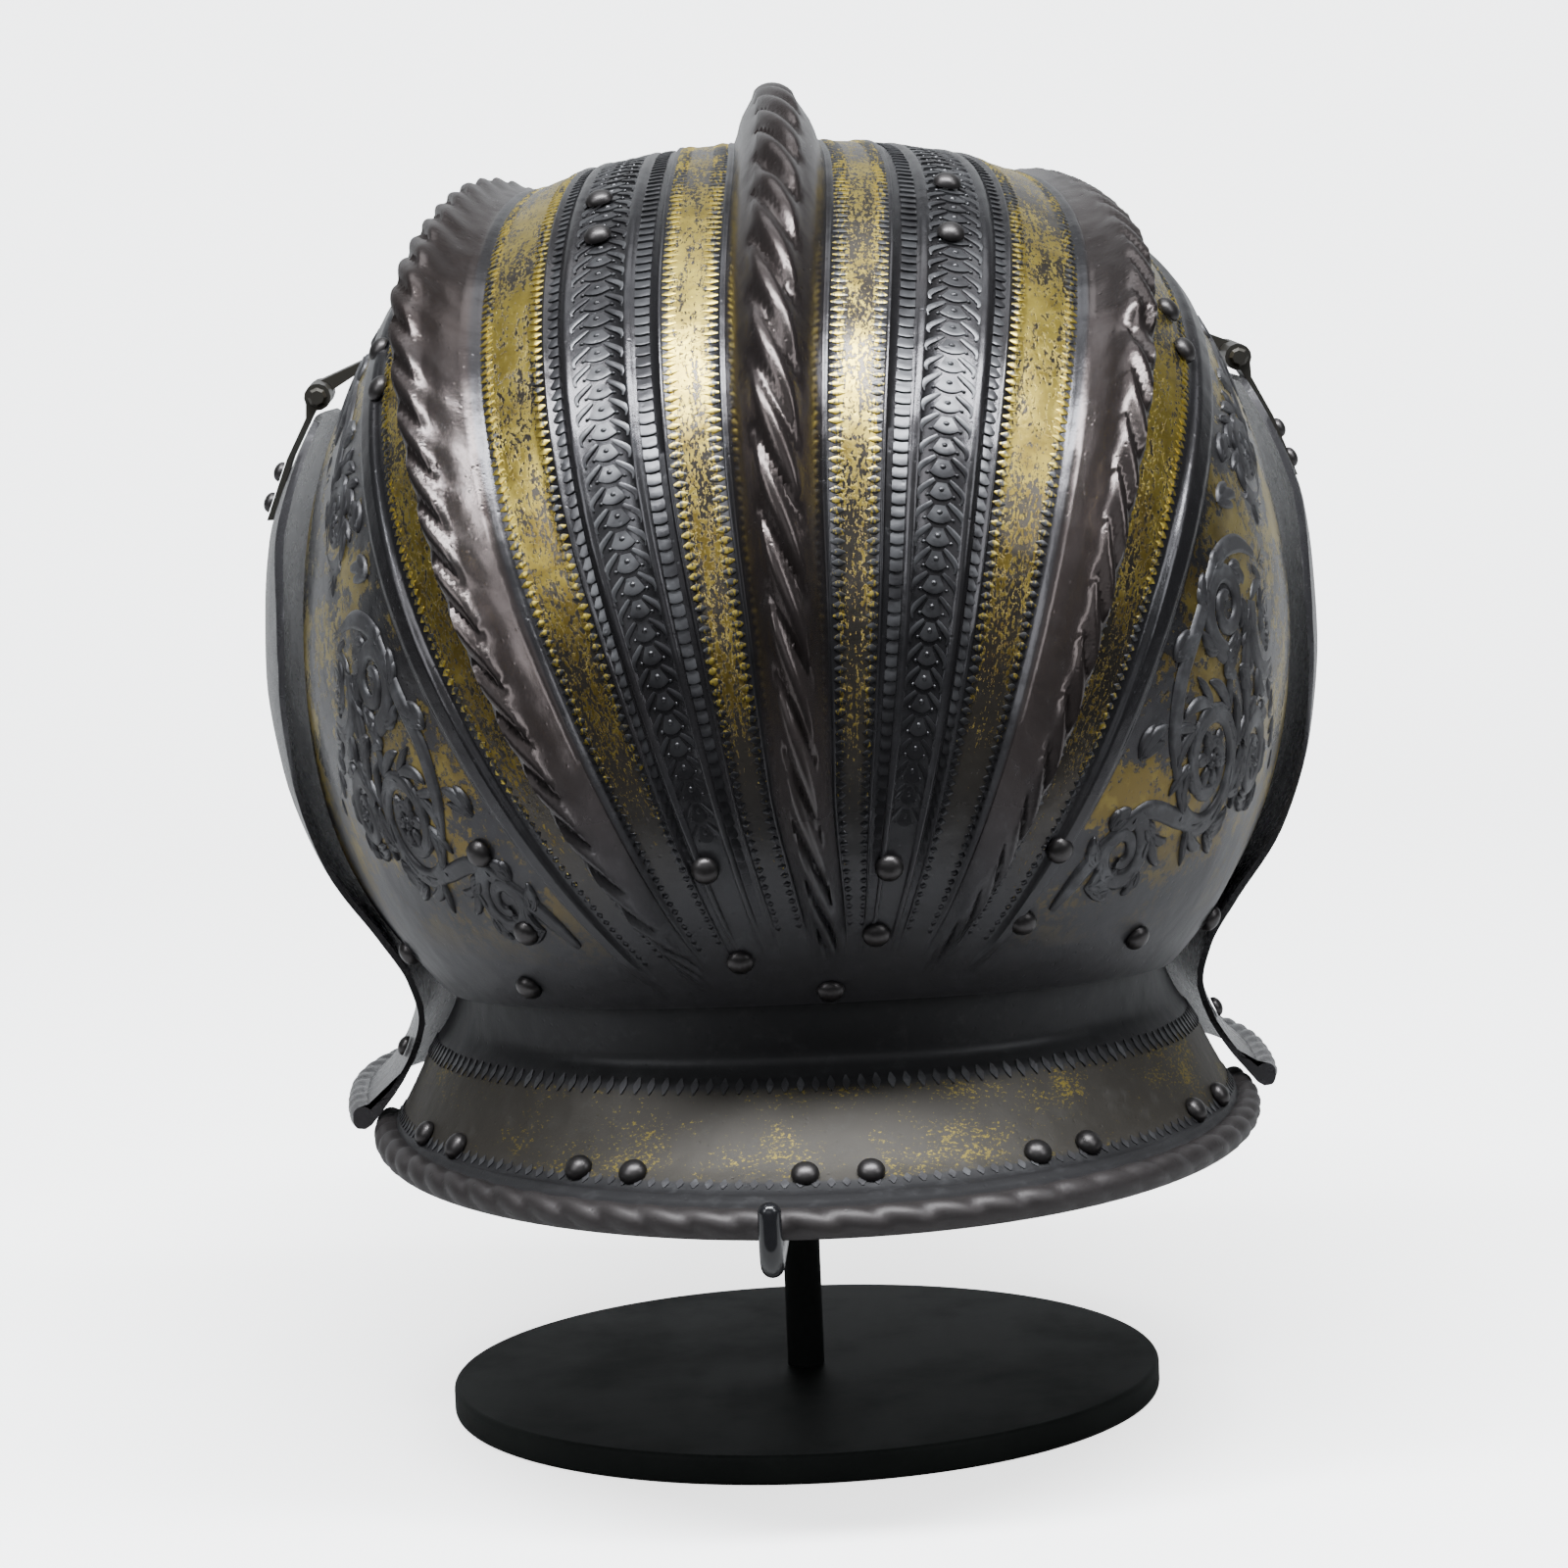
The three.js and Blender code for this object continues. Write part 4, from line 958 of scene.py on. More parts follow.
def gilding(f, around, polar):
    """How much gold is left, from 0 to 1, where the plate was gilt."""
    streak = f.node("ShaderNodeCombineXYZ", {}, {"X": around * 2.4, "Y": polar * 1.1})
    fine = f.noise(streak, 1.6, 6.0, 0.7, 0.3)
    long = f.noise(f.node("ShaderNodeCombineXYZ", {}, {"X": around * 1.4, "Y": polar * 0.22}),
                   1.0, 3.0, 0.6)
    speck = f.noise(f.place(), 1100.0, 3.0, 0.7)
    patch = f.noise(f.place(), 38.0, 3.0, 0.6)
    kept = polar.over(36, 56) * 0.19 + polar.over(52, 72) * 0.11 - polar.over(84, 112) * 0.05
    side = around.over(-3, 3) * 0.035
    worn = fine * 1.25 + long * 0.6 + speck * 0.5 + patch * 0.6 - 1.475 + kept + side - 0.285
    return worn.over(-0.02, 0.04) * polar.over(33, 39)


def steel_normal(f, strength=1.0):
    """Hand-planished surface: soft waves, fine pits and scratches."""
    waves = f.noise(f.place(), 75.0, 2.0, 0.5)
    grain = f.noise(f.place(), 950.0, 5.0, 0.65)
    pits = f.cells(f.place(), 420.0).over(0.0, 0.22)
    soft = f.bump(waves, 0.0011 * strength, 0.55)
    return f.bump(grain * 0.45 + pits * 0.5, 0.00016 * strength, 0.6, soft)


def embossed_steel():
    """The skull: browned combs, worn gilt bands, gilt panel ground and dark neck."""
    c = settings().colours
    f = Finish("embossed_steel")
    around, wide, polar = band_angles(f)
    bands = (wide.within(4.8, 7.85, 0.1) + wide.within(18.3, 22.5, 0.1)
             + wide.within(30.25, 33.95, 0.1)).least(1.0)
    high = f.node("ShaderNodeSeparateXYZ", {}, {"Vector": f.place()}, "Z")
    floor = settings().ornament.panel_floor
    panel = wide.over(37.9, 38.2) * high.over(floor, floor + 0.0006)
    gold = gilding(f, around, polar)
    patch = f.noise(f.place(), 60.0, 4.0, 0.6)
    ground = (patch * 0.9 + f.noise(f.place(), 600.0, 4.0, 0.7) * 0.6 - 0.78).over(-0.05, 0.05)
    foot = high.over(floor - 0.004, floor + 0.03)
    gilt = (bands * gold * 0.95 + panel * ground * foot * 0.7).least(1.0)
    blotch = f.noise(f.place(), 26.0, 5.0, 0.6)
    comb = (wide.over(3.9, 3.2) + wide.within(23.7, 29.2, 0.2)).least(1.0)
    brown = (comb * 0.7 + blotch.over(0.4, 0.8) * 0.2).least(1.0) * high.over(0.12, 0.17)
    dark = f.blend(brown, tuple(c.steel), tuple(c.russet))
    dust = f.noise(f.place(), 210.0, 6.0, 0.7).over(0.5, 0.8)
    dark = f.blend(dust * 0.14, dark, tuple(c.worn))
    stain = f.noise(f.place(), 150.0, 5.0, 0.65).over(0.38, 0.68)
    rich = f.blend(stain * 0.6 + polar.over(86, 58) * 0.75, tuple(c.gold), tuple(c.old_gold))
    trace = bands * polar.over(34, 50) * 0.1
    shade = f.blend(gilt, f.blend(trace, dark, tuple(c.old_gold)), rich)
    rough = 0.25 + dust * 0.04 + gilt * 0.07 + high.over(0.155, 0.12) * 0.22
    step = f.bump(gilt, 0.00006, 0.5, steel_normal(f))
    return f.done(shade, rough, gilt * 0.12 - polar.over(56, 40) * 0.35 + 0.83, step)


def gilt_teeth():
    """Teeth along the bands: gilt where the band beside them is, rubbed steel elsewhere."""
    c = settings().colours
    f = Finish("gilt_teeth")
    around, _, polar = band_angles(f)
    gold = gilding(f, around, polar)
    shade = f.blend(gold, f.blend(polar.over(32, 60) * 0.5, tuple(c.steel), tuple(c.worn)),
                    tuple(c.gold))
    dust = f.noise(f.place(), 300.0, 4.0, 0.6)
    return f.done(shade, 0.27 + dust * 0.14, 0.94, steel_normal(f, 0.6))


def ornament_steel():
    """Tongues and leaves in relief: dark in the hollows and rubbed bright on top."""
    c = settings().colours
    f = Finish("ornament_steel")
    _, _, polar = band_angles(f)
    rub = f.noise(f.place(), 90.0, 4.0, 0.6).over(0.35, 0.65)
    shade = f.blend(rub * polar.over(40, 60) * 0.45, tuple(c.steel), tuple(c.worn))
    return f.done(shade, 0.29 + rub * 0.08, 0.82, steel_normal(f, 0.8))


def scroll_steel():
    """Scroll relief: greyer and duller than the bands."""
    c = settings().colours
    f = Finish("scroll_steel")
    dust = f.noise(f.place(), 120.0, 5.0, 0.65)
    shade = f.blend(dust.over(0.45, 0.75) * 0.6, tuple(c.steel), tuple(c.worn))
    return f.done(shade, 0.4 + dust * 0.1, 0.62, steel_normal(f, 0.8))


def nape_steel():
    """The nape plate: gilt specks between two rows of teeth, browner on the rim."""
    c = settings().colours
    f = Finish("nape_steel")
    mark = f.node("ShaderNodeUVMap", {"uv_map": "Bands"}, {})
    split = f.node("ShaderNodeSeparateXYZ", {}, {"Vector": mark})
    row = Value(split.socket.node.outputs["Y"]) * 10
    zone = row.within(4.15, 6.25, 0.08)
    speck = f.noise(f.place((1, 1, 1.8)), 1000.0, 6.0, 0.75)
    patch = f.noise(f.place((1, 1, 1.6)), 55.0, 4.0, 0.6)
    gold = (speck * 1.3 + patch * 0.8 - 1.2).over(-0.02, 0.06)
    brown = row.over(7.6, 8.3)
    # Painted shade: the steel here is a darkened copy (0.45 of the blackened steel), to take down
    # the top light's highlight on the flared plate
    dark = f.blend(brown * 0.3, tuple(v * 0.45 for v in c.steel), tuple(c.russet))
    dust = f.noise(f.place(), 230.0, 6.0, 0.7).over(0.5, 0.8)
    dark = f.blend(dust * 0.12, dark, tuple(c.worn))
    warm = f.blend(zone * 0.06, dark, tuple(c.old_gold))
    # The gold here is a darkened copy (0.42 of the gilding): partly dull, dirty worn gilding and
    # partly painted shade against the top light's highlight
    shade = f.blend(zone * gold * 0.75, warm, tuple(v * 0.42 for v in c.gold))
    rough = 0.5 + dust * 0.1 + zone * 0.06
    return f.done(shade, rough, zone * gold * 0.4 + 0.5, steel_normal(f))


def plain_steel(name, rough=0.3, brown=0.25, stretch=(1, 1, 1)):
    """Blackened plate with dust, rubbed places and long polishing marks."""
    c = settings().colours
    f = Finish(name)
    blotch = f.noise(f.place(stretch), 24.0, 5.0, 0.6)
    dust = f.noise(f.place(), 190.0, 6.0, 0.7).over(0.5, 0.8)
    dark = f.blend(blotch.over(0.4, 0.75) * brown, tuple(c.steel), tuple(c.russet))
    shade = f.blend(dust * 0.16, dark, tuple(c.worn))
    return f.done(shade, rough + dust * 0.08, 0.5, steel_normal(f, 0.8))


def rubbed_rivet():
    """Rivet heads, rubbed brighter than the plates, with grime left in the pits."""
    c = settings().colours
    f = Finish("rivet_steel")
    grime = f.noise(f.place(), 700.0, 5.0, 0.7).over(0.4, 0.62)
    blotch = f.noise(f.place(), 60.0, 3.0, 0.6).over(0.35, 0.7)
    bright = f.blend(blotch * 0.3, tuple(v * 1.7 for v in c.worn), tuple(c.steel))
    shade = f.blend(grime, tuple(c.russet), bright)
    return f.done(shade, 0.34 - grime * 0.1, 0.93, steel_normal(f, 0.6))


def black_paint():
    """The stand's satin paint, faintly mottled and dusty."""
    c = settings().colours
    f = Finish("stand_paint")
    dust = f.noise(f.place(), 35.0, 6.0, 0.6).over(0.4, 0.8)
    shade = f.blend(dust * 0.35, tuple(c.stand), tuple(v * 1.9 for v in c.stand))
    grain = f.noise(f.place(), 1400.0, 3.0, 0.6)
    return f.done(shade, 0.52 + dust * 0.12, 0.0, f.bump(grain, 0.00005, 0.5), 0.03)


def black_sleeve():
    c = settings().colours
    f = Finish("hook_sleeve")
    wave = f.noise(f.place(), 160.0, 3.0, 0.5)
    shade = f.blend(wave * 0.4, tuple(c.hook), tuple(v * 2 for v in c.hook))
    return f.done(shade, 0.14 + wave * 0.08, 0.0, f.bump(wave, 0.0002, 0.3))


def pale_floor():
    c = settings().colours
    f = Finish("pale_floor")
    wave = f.noise(f.place(), 3.0, 2.0, 0.5)
    shade = f.blend(wave * 0.2, tuple(c.floor), tuple(v * 0.985 for v in c.floor))
    seen = f.node("ShaderNodeLightPath", {}, {}, "Is Camera Ray")
    surface = f.node("ShaderNodeBsdfPrincipled", {}, {
        "Base Color": f.blend(seen, (0.3, 0.3, 0.3), shade), "Roughness": 0.85,
        "Emission Color": f.blend(seen, (0.0, 0.0, 0.0), shade), "Emission Strength": 2.4})
    f.node("ShaderNodeOutputMaterial", {}, {"Surface": surface})
    return f.material


FINISHES = {
    "embossed_steel": embossed_steel,
    "gilt_teeth": gilt_teeth,
    "ornament_steel": ornament_steel,
    "scroll_steel": scroll_steel,
    "nape_steel": nape_steel,
    "cheek_steel": lambda: plain_steel("cheek_steel", 0.27, 0.2, (1, 1, 0.4)),
    "peak_steel": lambda: plain_steel("peak_steel", 0.32, 0.45),
    "rivet_steel": rubbed_rivet,
    "hinge_steel": lambda: plain_steel("hinge_steel", 0.36, 0.3),
    "stand_paint": black_paint,
    "hook_sleeve": black_sleeve,
    "pale_floor": pale_floor,
}


def finish(name):
    return bpy.data.materials.get(name) or FINISHES[name]()


# Rolled plates of the nape and the cheeks

def rolled(outer, thickness, centre, radius, phase, depth):
    """Outer and inner sections that end in a roped roll; sections are (reach, height) pairs."""
    along = np.gradient(np.concatenate([outer, centre[:, None]], 1), axis=1)[:, :-1]
    along = unit(along)
    side = np.stack([along[..., 1], -along[..., 0]], -1)
    inner = outer + side * thickness
    turn = np.linspace(136, -62, 15)
    back = np.linspace(197, 297, 8)
    twist = strand(phase[:, None] - turn[None] / 200)
    window = smooth(-62, -40, turn) * (1 - smooth(105, 136, turn))
    reach = radius * (1 - depth * (1 - twist) * window)
    ring = lambda angles: np.stack([np.cos(np.radians(angles)), np.sin(np.radians(angles))], -1)
    roll = centre[:, None] + ring(turn)[None] * reach[..., None]
    under = centre[:, None] + ring(back)[None] * (radius * np.ones((len(phase), 8, 1)))
    return np.concatenate([outer, roll], 1), np.concatenate([inner, under], 1)


def matched(section, count):
    """The same section with a given number of points, spread over its point numbers."""
    at = np.linspace(0, section.shape[1] - 1, count)
    low = np.clip(at.astype(int), 0, section.shape[1] - 2)
    part = (at - low)[None, :, None]
    return section[:, low] * (1 - part) + section[:, low + 1] * part


class NapeForm:
    """The nape plate by its angle from the back and its row down the plate."""

    def __init__(self, skull):
        n = self.n = settings().nape
        self.skull = skull

    def neckline(self, theta):
        s, n = self.skull, self.n
        near = np.zeros_like(theta)
        far = np.full_like(theta, 2 * s.s.back_depth)
        for _ in range(34):
            half = (near + far) / 2
            y = n.centre_y + half * np.cos(theta)
            p = np.stack([half * np.sin(theta), y,
                          s.neck_level + s.s.neck_edge_slope * y], -1)
            inside = s.level(p) < 0
            near = np.where(inside, half, near)
            far = np.where(inside, far, half)
        return near

    def sections(self, theta, rows):
        n, s = self.n, self.skull
        back = np.maximum(0, np.cos(theta))[:, None] ** 1.5
        neck = (self.neckline(theta) - n.inset)[:, None]
        at = self.neckline(np.array([math.pi / 2, 0.0])) - n.inset
        level = s.neck_level + s.s.neck_edge_slope * (
            n.centre_y + neck * np.cos(theta)[:, None])
        side_rim = n.rim_half_width - n.roll_radius
        back_rim = n.rim_back - n.centre_y - n.roll_radius
        side = mix(at[0], side_rim, by_row(NAPE_ROWS, rows, 2))
        rear = mix(at[1], back_rim, by_row(NAPE_ROWS, rows, 0))
        flare = mix(side - at[0], rear - at[1], back)
        drop = mix(by_row(NAPE_ROWS, rows, 3), by_row(NAPE_ROWS, rows, 1), back)
        ellipse = lambda a, b: 1 / np.hypot(np.sin(theta)[:, None] / a, np.cos(theta)[:, None] / b)
        reach = mix(neck + flare, ellipse(side, rear), by_row(NAPE_ROWS, rows, 4))
        return np.stack([reach, mix(level, n.rim_level, drop)], -1)

    def rim(self, theta):
        n = self.n
        a, b = n.rim_half_width - n.roll_radius, n.rim_back - n.centre_y - n.roll_radius
        reach = 1 / np.hypot(np.sin(theta) / a, np.cos(theta) / b)
        return np.stack([reach, np.full_like(theta, n.rim_level)], -1)

    def place(self, theta, section):
        return np.stack([section[..., 0] * np.sin(theta) + self.skull.s.shift,
                         self.n.centre_y + section[..., 0] * np.cos(theta),
                         section[..., 1]], -1)

    def row_points(self, theta, row):
        """Points along one row and the way out of the plate."""
        rows = np.array([row - 0.02, row, row + 0.02])
        points = self.place(theta[:, None], self.sections(theta, rows))
        down = points[:, 2] - points[:, 0]
        along = np.gradient(points[:, 1], axis=0)
        return points[:, 1], unit(np.cross(down, along))


class CheekForm:
    """A cheekpiece by its share from the rear edge to the front and its row down."""

    def __init__(self, skull, nape):
        c = self.c = settings().cheek
        self.skull = skull
        self.half_width = skull.s.half_width + c.stand_off
        self.waist = nape.neckline(np.array([math.pi / 2]))[0] + c.waist_stand_off
        self.rim = settings().nape.rim_half_width + c.rim_stand_off

    def section(self, rows):
        c = self.c
        height = by_row(CHEEK_ROWS, rows, 0)
        out = by_row(CHEEK_ROWS, rows, 1)
        widest = np.where(height > CHEEK_WAIST_HEIGHT, self.half_width, self.rim)
        return np.stack([mix(self.waist, widest, out),
                         mix(c.rim_level, c.top_level, height)], -1)

    def place(self, part, rows, section, sign):
        """Points for shares across and rows down, from sections of the same shape."""
        c = self.c
        rows = np.clip(rows, 0, len(CHEEK_ROWS) - 1)
        start = -np.arcsin(by_row(CHEEK_ROWS, rows, 2) ** (c.fullness / 2))
        end = np.arcsin(by_row(CHEEK_ROWS, rows, 3) ** (c.fullness / 2))
        angle = mix(start, end, part)
        reach = np.abs(np.sin(angle)) ** (2 / c.fullness)
        depth = np.where(angle < 0, c.rear_reach, -(section[..., 0] - c.front_trim))
        return np.stack([
            sign * section[..., 0] * np.cos(angle) ** (2 / c.fullness) + self.skull.s.shift,
            -c.widest_forward * by_row(CHEEK_ROWS, rows, 4) + depth * reach,
            section[..., 1] + 0 * angle], -1)


# Operators, one for each piece or group of like pieces

class HELMET_OT_skull(bpy.types.Operator):
    """Build the skull plate with its combs, ribs and grooves"""
    bl_idname = "helmet.skull"
    bl_label = "Skull"

    def execute(self, context):
        form = SkullForm()
        half = stepped(
            (0, 0.3), (3.65, 0.12), (4.2, 1.2), (8.3, 0.1), (8.8, 0.7), (10.55, 0.16),
            (11.55, 1.2), (15.2, 0.17), (16.3, 0.4), (17.3, 0.1), (17.75, 1.2), (23.0, 0.16),
            (23.9, 0.28), (29.0, 0.1), (29.5, 1.1), (34.7, 0.25), (38, 2), (100, 1))
        around = np.concatenate([-half[:0:-1], half])
        neck, face = form.edges(around)
        part = np.linspace(0, 1, 281)[:, None]
        polar = mix(neck[None], face[None], part)
        wide = np.broadcast_to(around, polar.shape)
        outer = form.place(polar, wide, form.relief(polar, wide))
        rows, columns = picked(281, 8), picked(len(around), 4)
        pick = np.ix_(rows, columns)
        hollow = form.comb_lift(polar[pick], wide[pick], 2) - form.s.thickness
        inner = form.place(polar[pick], wide[pick], hollow)
        points, faces = plate(outer, inner, rows, columns)
        marks = np.concatenate([
            np.stack([wide / 360 + 0.5, polar / 180], -1).reshape(-1, 2),
            np.stack([wide[pick] / 360 + 0.5, 0 * polar[pick]], -1).reshape(-1, 2)])
        obj = mesh_piece("skull_plate", points, faces, finish("embossed_steel"), marks, sharp=55)
        finished(obj, ROOT, "banded_steel", "skull")
        return {"FINISHED"}


class HELMET_OT_bands(bpy.types.Operator):
    """Set the teeth, tongues and leaf links along the skull's bands"""
    bl_idname = "helmet.bands"
    bl_label = "Bands of teeth, tongues and links"

    def execute(self, context):
        form = SkullForm()
        o = settings().ornament
        tree = row_tree("ornament_row", True)

        def rows(table, along, high, sink=0.0):
            made = []
            for angle, wide, low in table:
                for sign in (1, -1):
                    _, face = form.edges(np.array([sign * float(angle)]))
                    polar = np.linspace(low, face[0] - 3, 260)
                    around = np.full_like(polar, sign * angle)
                    lift = form.relief(polar, around) - sink
                    points = form.place(polar, around, lift)
                    reach = form.per_degree(polar, around) * wide
                    rise = high * smooth(low - 4, low + 14, polar)
                    size = np.stack([reach, np.full_like(reach, along), rise], -1)
                    made.append((points, form.out(points), size))
            return made

        for name, table, shape, material, spacing, along, high in (
                ("band_teeth", TOOTH_ROWS, tooth_shape(), "gilt_teeth",
                 o.tooth_spacing, 0.0016, 0.0004),
                ("tongue_rows", TONGUE_ROWS, tongue_shape(), "ornament_steel",
                 o.tongue_spacing, 0.0026, 0.00045),
                ("leaf_links", (LINK_ROW,), link_shape(), "ornament_steel",
                 o.link_spacing, 0.0047, 0.00045)):
            obj = row_piece(name, tree, rows(table, along, high), shape, finish(material), spacing)
            add_skull_marks(form, obj)
            finished(obj, ROOT, "banded_steel")
        return {"FINISHED"}


class HELMET_OT_nape_plate(bpy.types.Operator):
    """Build the nape plate with its roped rim and rows of teeth"""
    bl_idname = "helmet.nape_plate"
    bl_label = "Nape plate"

    def execute(self, context):
        skull = SkullForm()
        nape = NapeForm(skull)
        n = settings().nape
        end = math.radians(n.end_angle)
        theta = np.linspace(-end, end, 341)
        rows = np.linspace(0, 8, 41)
        rim = nape.rim(theta)
        step = np.linalg.norm(np.diff(nape.place(theta, rim), axis=0), axis=1)
        phase = np.concatenate([[0], np.cumsum(step)]) / n.strand_pitch
        outer = nape.sections(theta, rows)
        lift = 0.0006 * np.exp(-((rows - 7.15) / 0.2) ** 2)
        outer[..., 1] += lift
        outside, inside = rolled(outer, n.thickness, rim, n.roll_radius, phase, 0.24)
        count = outside.shape[1]
        inside = matched(inside, count)
        columns, picks = picked(len(theta), 5), picked(count, 4)
        fine = nape.place(theta[None], outside.transpose(1, 0, 2))
        coarse = nape.place(theta[columns][None], inside.transpose(1, 0, 2)[picks][:, columns])
        points, faces = plate(fine, coarse, picks, columns)
        number = np.interp(np.arange(count), [0, 40, count - 1], [0, 8, 9.5])
        mark = lambda t, r: np.stack(np.broadcast_arrays(
            t[None] / 7 + 0.5, r[:, None] / 10), -1).reshape(-1, 2)
        marks = np.concatenate([mark(theta, number),
                                mark(theta[columns], 0 * number[picks])])
        obj = mesh_piece("nape_plate_shell", points, faces, finish("nape_steel"), marks, sharp=60)
        finished(obj, ROOT, "dark_steel", "nape_plate")
        teeth = []
        span = np.linspace(-0.97 * end, 0.97 * end, 300)
        for row, wide in ((4.05, 0.0042), (6.35, 0.0026)):
            at, out = nape.row_points(span, row)
            size = np.tile([wide, 0.0016, 0.0007], (len(at), 1))
            teeth.append((at, out, size))
        made = row_piece("nape_teeth", row_tree("nape_row", True), teeth, tooth_shape(),
                         finish("scroll_steel"), 0.0031)
        finished(made, ROOT, "dark_steel")
        return {"FINISHED"}


class HELMET_OT_cheekpieces(bpy.types.Operator):
    """Build both hinged cheekpieces with their roped lower edges"""
    bl_idname = "helmet.cheekpieces"
    bl_label = "Cheekpieces"

    def execute(self, context):
        skull = SkullForm()
        nape = NapeForm(skull)
        cheek = CheekForm(skull, nape)
        c = settings().cheek
        rows = np.linspace(0, len(CHEEK_ROWS) - 1, 67)
        part = np.linspace(0, 1, 121)
        section = np.repeat(cheek.section(rows)[None], len(part), 0)
        rim = np.tile([cheek.rim, c.rim_level], (len(part), 1))
        edge = cheek.place(part, np.full(len(part), 11.0), rim, 1)
        step = np.linalg.norm(np.diff(edge, axis=0), axis=1)
        phase = np.concatenate([[0], np.cumsum(step)]) / c.strand_pitch
        for side, sign in SIDES:
            outside, inside = rolled(
                section, c.thickness, rim, c.roll_radius, sign * phase, 0.22)
            count = outside.shape[1]
            inside = matched(inside, count)
            number = np.concatenate([rows, np.full(count - len(rows), rows[-1])])
            columns, picks = picked(len(part), 3), picked(count, 3)
            across = lambda s, t, r: cheek.place(
                t[None], r[:, None] * np.ones((1, len(t))), s.transpose(1, 0, 2), sign)
            fine = across(outside, part, number)
            coarse = across(inside[columns][:, picks], part[columns], number[picks])
            points, faces = plate(fine, coarse, picks, columns)
            obj = mesh_piece("cheek_shell_" + side, points, faces, finish("cheek_steel"), sharp=60)
            finished(obj, side + "_cheekpiece", "dark_steel", "cheekpiece_" + side)
        return {"FINISHED"}


class HELMET_OT_peak(bpy.types.Operator):
    """Build the peak over the brow with its rolled edge"""
    bl_idname = "helmet.peak"
    bl_label = "Peak"

    def execute(self, context):
        form = SkullForm()
        p = settings().peak
        s = form.s
        around = np.linspace(-p.half_angle, p.half_angle, 109)
        edge = form.edges(around)[1]
        far = form.edges(np.array([p.half_angle]))[1]
        end_x = form.surface(far, np.array([p.half_angle]) + form.lean(far, p.half_angle))[0, 0]
        on_edge = form.surface(edge, around + form.lean(edge, around))
        behind = form.surface(edge - 2, around)
        downhill = unit(on_edge - behind)
        per_degree = np.linalg.norm(on_edge - behind, axis=-1) / 2
        lap = form.surface(edge - p.overlap / per_degree, around)
        lap = lap + form.normal(lap) * 2 * p.fit_gap
        brow = on_edge + form.normal(on_edge) * 2 * p.fit_gap
        forward = unit(on_edge * np.array([1 / s.half_width, 1 / s.front_depth, 0]))
        forward = unit(forward + np.array([0, -0.9, -p.dip]))
        wide = np.minimum(1, np.abs(on_edge[:, 0]) / (p.outline_share * end_x))
        reach = p.reach * (1 - wide ** 2) ** 0.7 + 3 * p.roll_radius
        flat = np.hypot(forward[:, 0], forward[:, 1])
        up = np.stack([-forward[:, 0] * forward[:, 2] / -flat, -forward[:, 1] * forward[:, 2]
                       / -flat, flat], -1) * np.array([-1, -1, 1])
        run = np.maximum(0, reach - 2 * p.roll_radius)[:, None]
        step = np.linalg.norm(np.diff(brow + forward * run, axis=0), axis=1)
        phase = np.concatenate([[0], np.cumsum(step)]) / 0.007

        def side(inside):
            lift = 0 if inside else p.thickness
            points = [lap + form.normal(lap) * lift, brow + form.normal(brow) * lift]
            for part in np.linspace(0.12, 0.9, 12):
                points.append(brow + downhill * p.brow_drop * (1 - part)
                              + forward * run * part + up * lift)
            angles = np.linspace(220, 310, 8) if inside else np.linspace(110, -50, 13)
            for turn in angles:
                radius = np.full(len(around), p.roll_radius)
                if not inside:
                    radius = radius * (1 - 0.22 * (1 - strand(phase - turn / 200))
                                       * smooth(-50, -30, turn))
                points.append(
                    brow + forward * (run + p.roll_radius + radius[:, None] * math.cos(
                        math.radians(turn)))
                    + up * (radius[:, None] * math.sin(math.radians(turn)) + p.thickness / 2))
            return np.stack(points) + np.array([s.shift, 0, 0])

        outer, inner = side(False), side(True)
        count = len(outer)
        inner = matched(inner.transpose(1, 0, 2), count).transpose(1, 0, 2)
        columns, rows = picked(len(around), 3), picked(count, 2)
        points, faces = plate(outer, inner[np.ix_(rows, columns)], rows, columns)
        obj = mesh_piece("peak_plate", points, faces, finish("peak_steel"), sharp=60)
        finished(obj, ROOT, "dark_steel", "peak")
        return {"FINISHED"}


